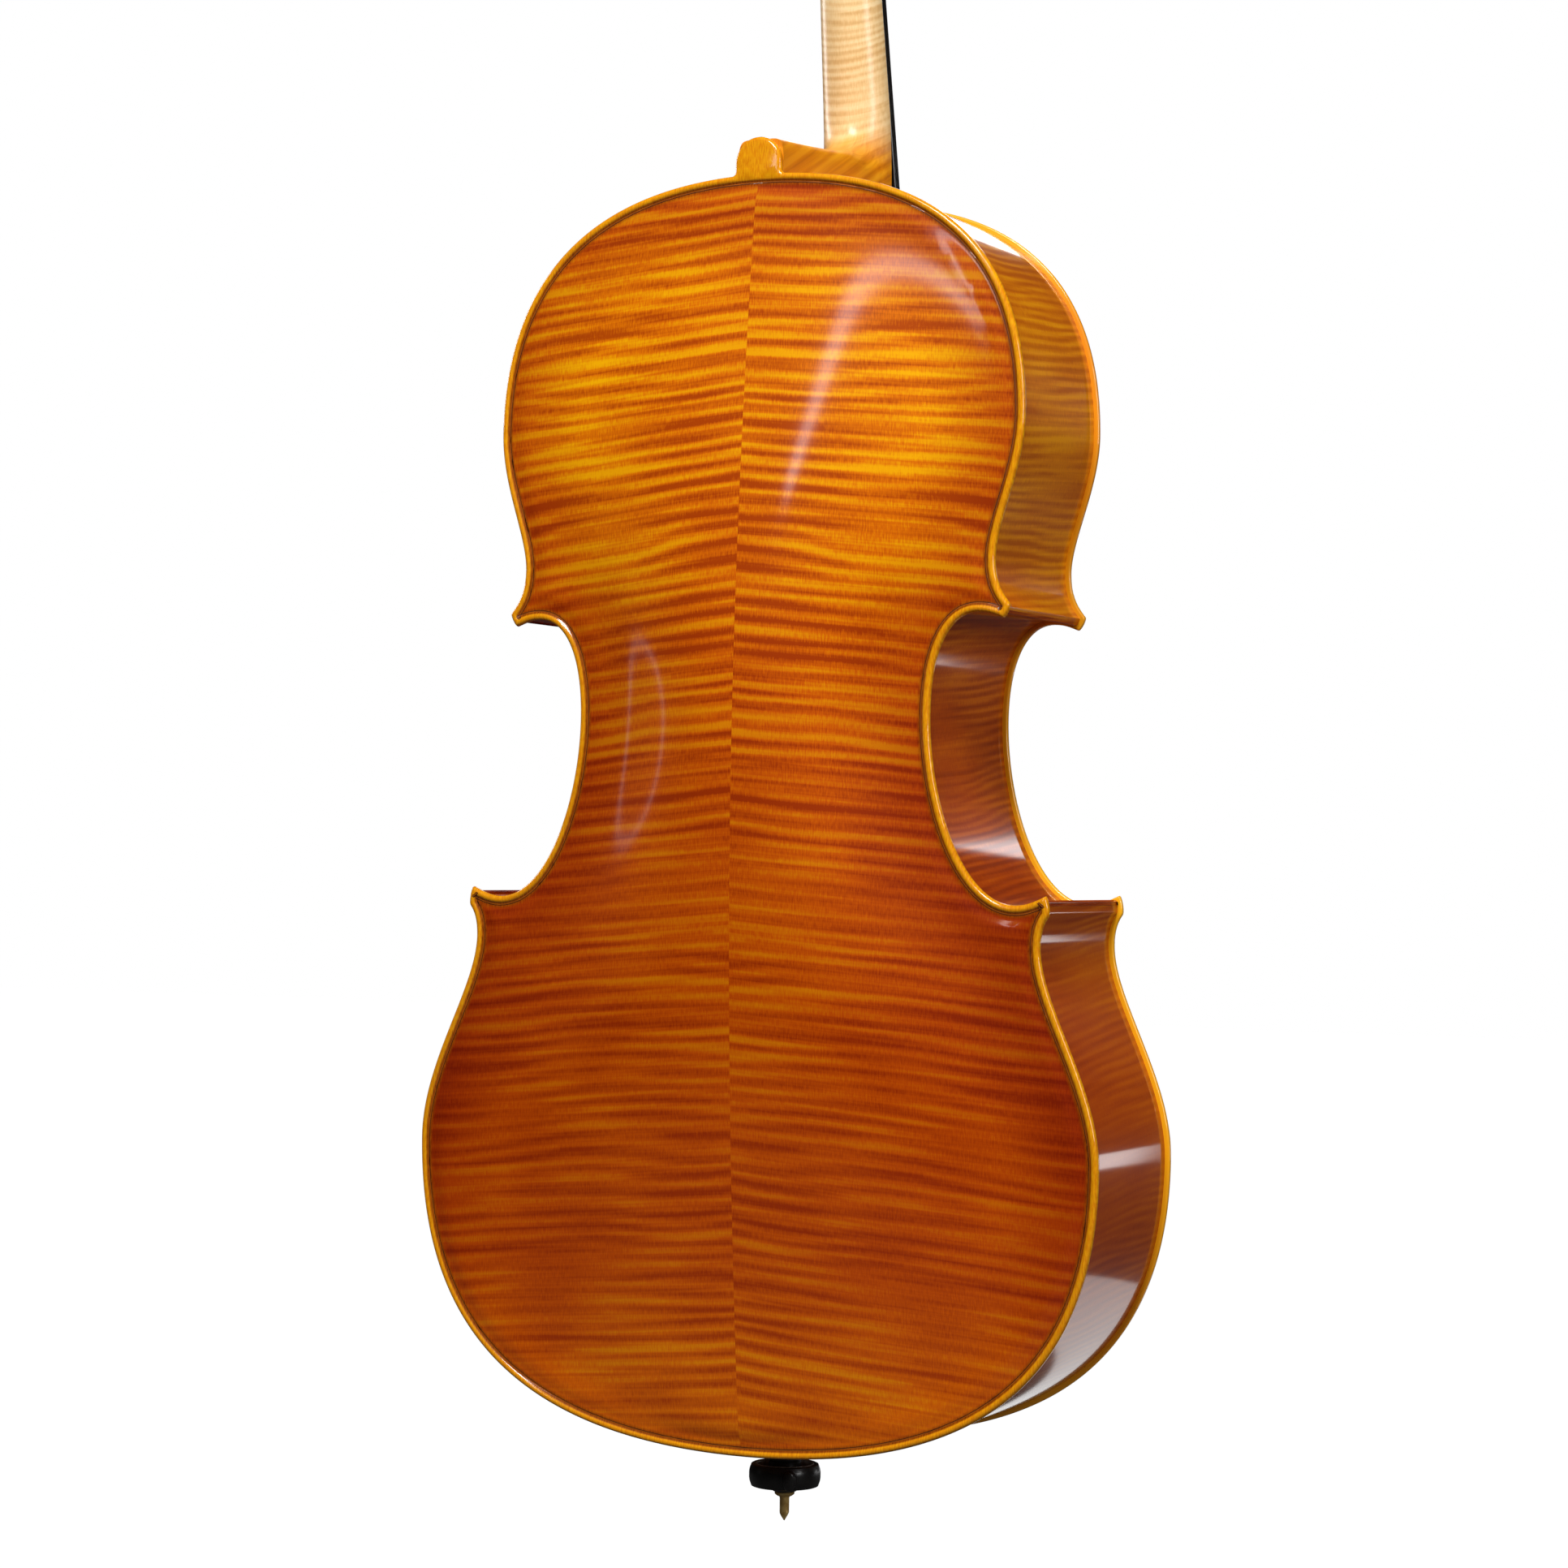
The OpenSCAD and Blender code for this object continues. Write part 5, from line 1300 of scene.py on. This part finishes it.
def make_endpin():
    gap = ROD_RADIUS + 0.05
    plug = [(gap, -10), (9.4, -10), (10, -9.6), (10, -1.4), (9.9, -1), (9.9, -0.6), (10, -0.2), (10, 33.4),
            (9.4, 34), (gap, 34), (gap, -10)]
    piece("endpin_plug_turned", Shape().lathe(plug[:-1] + [plug[0]], upright, 64), [endpin_black],
          ["endpin_plug"])
    shape = Shape()
    hoop = [(16.9, -25.5), (19.4, -25.5), (20.2, -25.2), (21.2, -22.4), (21.5, -20.4), (21.5, -17),
            (21.2, -15), (20.2, -12.4), (19.4, -12), (17.3, -12), (16.9, -12.5), (16.9, -25.5)]
    shape.lathe(hoop, upright, 96)
    # Painted highlight: a pale band lines the hoop's inner wall and stands in for its gloss.
    painted_highlight_band = [(16.7, -24.8), (16.95, -24.8), (16.95, -12.4), (17.6, -11.95), (17.5, -11.8), (16.9, -11.9),
             (16.7, -12.2), (16.7, -24.8)]
    shape.lathe(painted_highlight_band, upright, 96, 1)
    hub = [(gap, -10), (9.6, -10), (10, -10.4), (10, -23.6), (9.7, -24.8), (8.6, -26.8), (7.5, -28.2),
           (7, -28.6), (gap, -28.6), (gap, -10)]
    shape.lathe(hub, upright, 64)
    for way in (1, -1):
        rings = []
        for out, half in ((9, 6.4), (10.5, 6), (14, 5.7), (17.2, 6.2)):
            corners = [(half, -24.6), (half, -12.8), (half - 0.8, -12.2), (-half + 0.8, -12.2),
                       (-half, -12.8), (-half, -24.6), (-half + 0.8, -25.2), (half - 0.8, -25.2)]
            rings.append(clamp_way(np.array([(side, up - CLAMP_Z, out * way) for side, up in corners])))
        shape.loft(rings)
    boss = [(2.2, 20.4), (5.4, 20.4), (5.2, 21.6), (2.2, 21.9), (2.2, 20.4)]
    shape.lathe(boss, clamp_way, 32)
    piece("endpin_collar_turned", shape, [endpin_black, hoop_painted_highlight], ["endpin_collar"],
          sharp=38)
    screw = Shape().lathe([(0.05, ROD_RADIUS + 0.15), (1.6, ROD_RADIUS + 0.15), (1.95, 5.6), (1.95, 22.2),
                           (0.05, 22.3)], clamp_way, 24)
    rings = []
    spread = np.linspace(0, 2 * pi, 49)[:-1]
    for out, wide, tall in ((22.1, 2.8, 4.6), (22.4, 3.4, 5.6), (23.1, 3.8, 6.1), (25.0, 3.8, 6.2),
                            (26.1, 3.4, 5.8), (26.6, 2.4, 4.8)):
        rings.append(clamp_way(np.stack([wide * np.cos(spread), tall * np.sin(spread),
                                         np.full(len(spread), out)], -1)))
    screw.loft(rings)
    piece("endpin_thumbscrew_turned", screw, [endpin_black], ["endpin_thumbscrew"],
          "thumbscrew_body", sharp=50)
    rod = [(0.05, ROD_ENDS[0]), (ROD_RADIUS, ROD_ENDS[0]), (ROD_RADIUS, 100), (ROD_RADIUS, 300),
           (ROD_RADIUS, ROD_ENDS[1] - 0.8), (ROD_RADIUS - 0.8, ROD_ENDS[1]), (0.05, ROD_ENDS[1])]
    piece("endpin_rod_ground", Shape().lathe(rod, upright, 48), [polished_steel], ["endpin_rod"],
          "endpin_body")
    tip = Shape()
    foot = -EDGE_ABOVE_TIP
    ferrule = [(2.85, foot + 0.2), (2.9, foot + 8.2), (3.2, foot + 9), (4.6, foot + 9.6), (5.7, foot + 10.4),
               (6, foot + 10.9), (6, foot + 11.6), (5.6, foot + 12), (0.05, foot + 12)]
    tip.lathe([(0.05, foot + 0.2)] + ferrule, upright, 48)
    rings = []
    fan = np.linspace(0, 2 * pi, 33)[:-1]
    for z, r, square in ((0.6, 2.9, 0), (-0.3, 2.95, 0.3), (-0.9, 3.0, 0.8), (-2.6, 2.1, 1), (-4.3, 0.95, 1),
                         (-5.2, 0.4, 0.6), (-5.4, 0.1, 0)):
        facet = 1 / np.maximum(np.abs(np.cos((fan - SPEAR_TURN + pi / 4) % (pi / 2) - pi / 4)), 0.7)
        reach = r * ((1 - square) + square * np.minimum(facet, 1.25) * 0.86)
        rings.append(np.stack([reach * np.cos(fan), reach * np.sin(fan), np.full(len(fan), foot + z)], -1))
    tip.loft(rings)
    piece("endpin_tip_ground", tip, [old_brass], ["endpin_tip"], "endpin_body", sharp=35)


# ---- Parts inside, which keep the CAD meshes ----

def dress_inside():
    dressing = {"back_linings": spruce_inner, "top_linings": spruce_inner, "neck_block": spruce_inner,
                "end_block": spruce_inner, "lower_corner_blocks": spruce_inner,
                "upper_corner_blocks": spruce_inner, "bass_bar": spruce_inner, "sound_post": spruce_inner}
    for name, finish in dressing.items():
        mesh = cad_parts[name].data
        mesh.materials.clear()
        mesh.materials.append(finish)


make_plates()
make_ribs()
make_neck()
make_head()
make_board()
make_nut()
make_saddle()
make_bridge()
make_tailpiece()
make_tuners()
make_tail_cord()
make_strings()
make_windings_and_pegs()
make_endpin()
dress_inside()


# ---- Floor, lights and camera ----

def make_floor():
    """Pale floor, low enough to leave the fully drawn endpin in view."""
    low = cad_box[0][2] - ENDPIN_TRAVEL - 0.0006
    half = 14
    mesh = bpy.data.meshes.new("floor")
    mesh.from_pydata([(-half, -half, low), (half, -half, low), (half, half, low), (-half, half, low)], [],
                     [(0, 1, 2, 3)])
    finish = Finish("pale_floor", roughness=0.7, specular=0.1)
    seen = finish.node("ShaderNodeLightPath").outputs["Is Camera Ray"]
    finish.shader.inputs["Emission Color"].default_value = (1, 1, 1, 1)
    finish.tree.links.new(finish.maths("MULTIPLY", seen, 1.0), finish.shader.inputs["Emission Strength"])
    spot = finish.node("ShaderNodeTexCoord").outputs["Object"]
    finish.colour(finish.ramp(finish.noise(spot, scale=3), (0.3, (62, 62, 62)), (0.7, (66, 66, 66))))
    mesh.materials.append(finish.material)
    link(mesh, "floor")


def softbox(name, place, aim, width, height, power, lean=(0, 0, 1)):
    """A rectangular light, invisible to the camera. Its height runs along lean."""
    light = bpy.data.lights.new(name, "AREA")
    light.shape = "RECTANGLE"
    light.size, light.size_y, light.energy = width, height, power
    obj = bpy.data.objects.new(name, light)
    back = (Vector(place) - Vector(aim)).normalized()
    side = Vector(lean).cross(back).normalized()
    up = back.cross(side)
    obj.matrix_world = Matrix([(side[k], up[k], back[k], place[k]) for k in range(3)] + [(0, 0, 0, 1)])
    obj.visible_camera = False
    bpy.context.scene.collection.objects.link(obj)


def make_lights():
    """A white studio: pale surroundings, a high key light and tall narrow strips that draw the gloss."""
    world = bpy.data.worlds.new("studio")
    world.use_nodes = True
    tree = world.node_tree
    surroundings = tree.nodes["Background"]
    surroundings.inputs["Color"].default_value = (1, 1, 1, 1)
    path = tree.nodes.new("ShaderNodeLightPath")
    dimmer = tree.nodes.new("ShaderNodeMapRange")
    dimmer.inputs["To Min"].default_value = 0.1
    dimmer.inputs["To Max"].default_value = 0.012
    tree.links.new(path.outputs["Is Glossy Ray"], dimmer.inputs["Value"])
    tree.links.new(dimmer.outputs[0], surroundings.inputs["Strength"])
    backdrop = tree.nodes.new("ShaderNodeBackground")
    backdrop.inputs["Color"].default_value = (1, 1, 1, 1)
    backdrop.inputs["Strength"].default_value = 1.0
    chooser = tree.nodes.new("ShaderNodeMixShader")
    tree.links.new(path.outputs["Is Camera Ray"], chooser.inputs[0])
    tree.links.new(surroundings.outputs[0], chooser.inputs[1])
    tree.links.new(backdrop.outputs[0], chooser.inputs[2])
    tree.links.new(chooser.outputs[0], tree.nodes["World Output"].inputs["Surface"])
    bpy.context.scene.world = world
    softbox("key", (-0.5, 2.4, 3.1), (0, 0, 0.45), 1.5, 1.1, 136)
    softbox("strip_centre", (0.42, 2.45, 1.8), (0, 0, 0.6), 0.1, 1.6, 3.0, (-1.1, -0.5, 1.55))
    softbox("strip_treble", (2.76, 1.3, 0.6), (0, 0, 0.45), 0.05, 0.9, 0.22)
    softbox("side_bass", (-2.9, 0.9, 1.3), (0, 0, 0.5), 0.9, 1.2, 34)
    softbox("side_treble", (2.9, -0.6, 1.6), (0, 0, 0.5), 0.9, 1.2, 24)
    softbox("card_front", (0.75, -2.4, 1.75), (0, 0, 0.6), 0.7, 0.6, 6)
    softbox("card_low", (-1.25, -2.0, 0.12), (-0.2, 0, 0.15), 0.55, 0.16, 0.9)
    softbox("card_waist", (-0.72, -2.4, 1.05), (-0.12, 0, 0.4), 0.16, 0.3, 0.6)
    softbox("card_floor", (-0.12, -0.34, 0.004), (-0.12, -0.34, 1), 0.5, 0.24, 0.4, (0, 1, 0))


CAMERA_PLACE = (-0.95865, 1.98406, 0.39076)
CAMERA_RIGHT = (-0.89921714, -0.43728541, 0.01378464)
CAMERA_UP = (0.00323429, 0.02486243, 0.99968565)
FOCAL_SHARE = 4502 / 1932
SENSOR = 36


def make_camera():
    data = bpy.data.cameras.new("camera")
    data.sensor_width = SENSOR
    data.lens = SENSOR * FOCAL_SHARE
    data.clip_end = 60
    camera = bpy.data.objects.new("camera", data)
    right, up = Vector(CAMERA_RIGHT), Vector(CAMERA_UP)
    back = right.cross(up)
    camera.matrix_world = Matrix([(right[k], up[k], back[k], CAMERA_PLACE[k]) for k in range(3)]
                                 + [(0, 0, 0, 1)])
    bpy.context.scene.collection.objects.link(camera)
    bpy.context.scene.camera = camera


make_floor()
make_lights()
make_camera()
bpy.context.scene.view_settings.view_transform = "Standard"
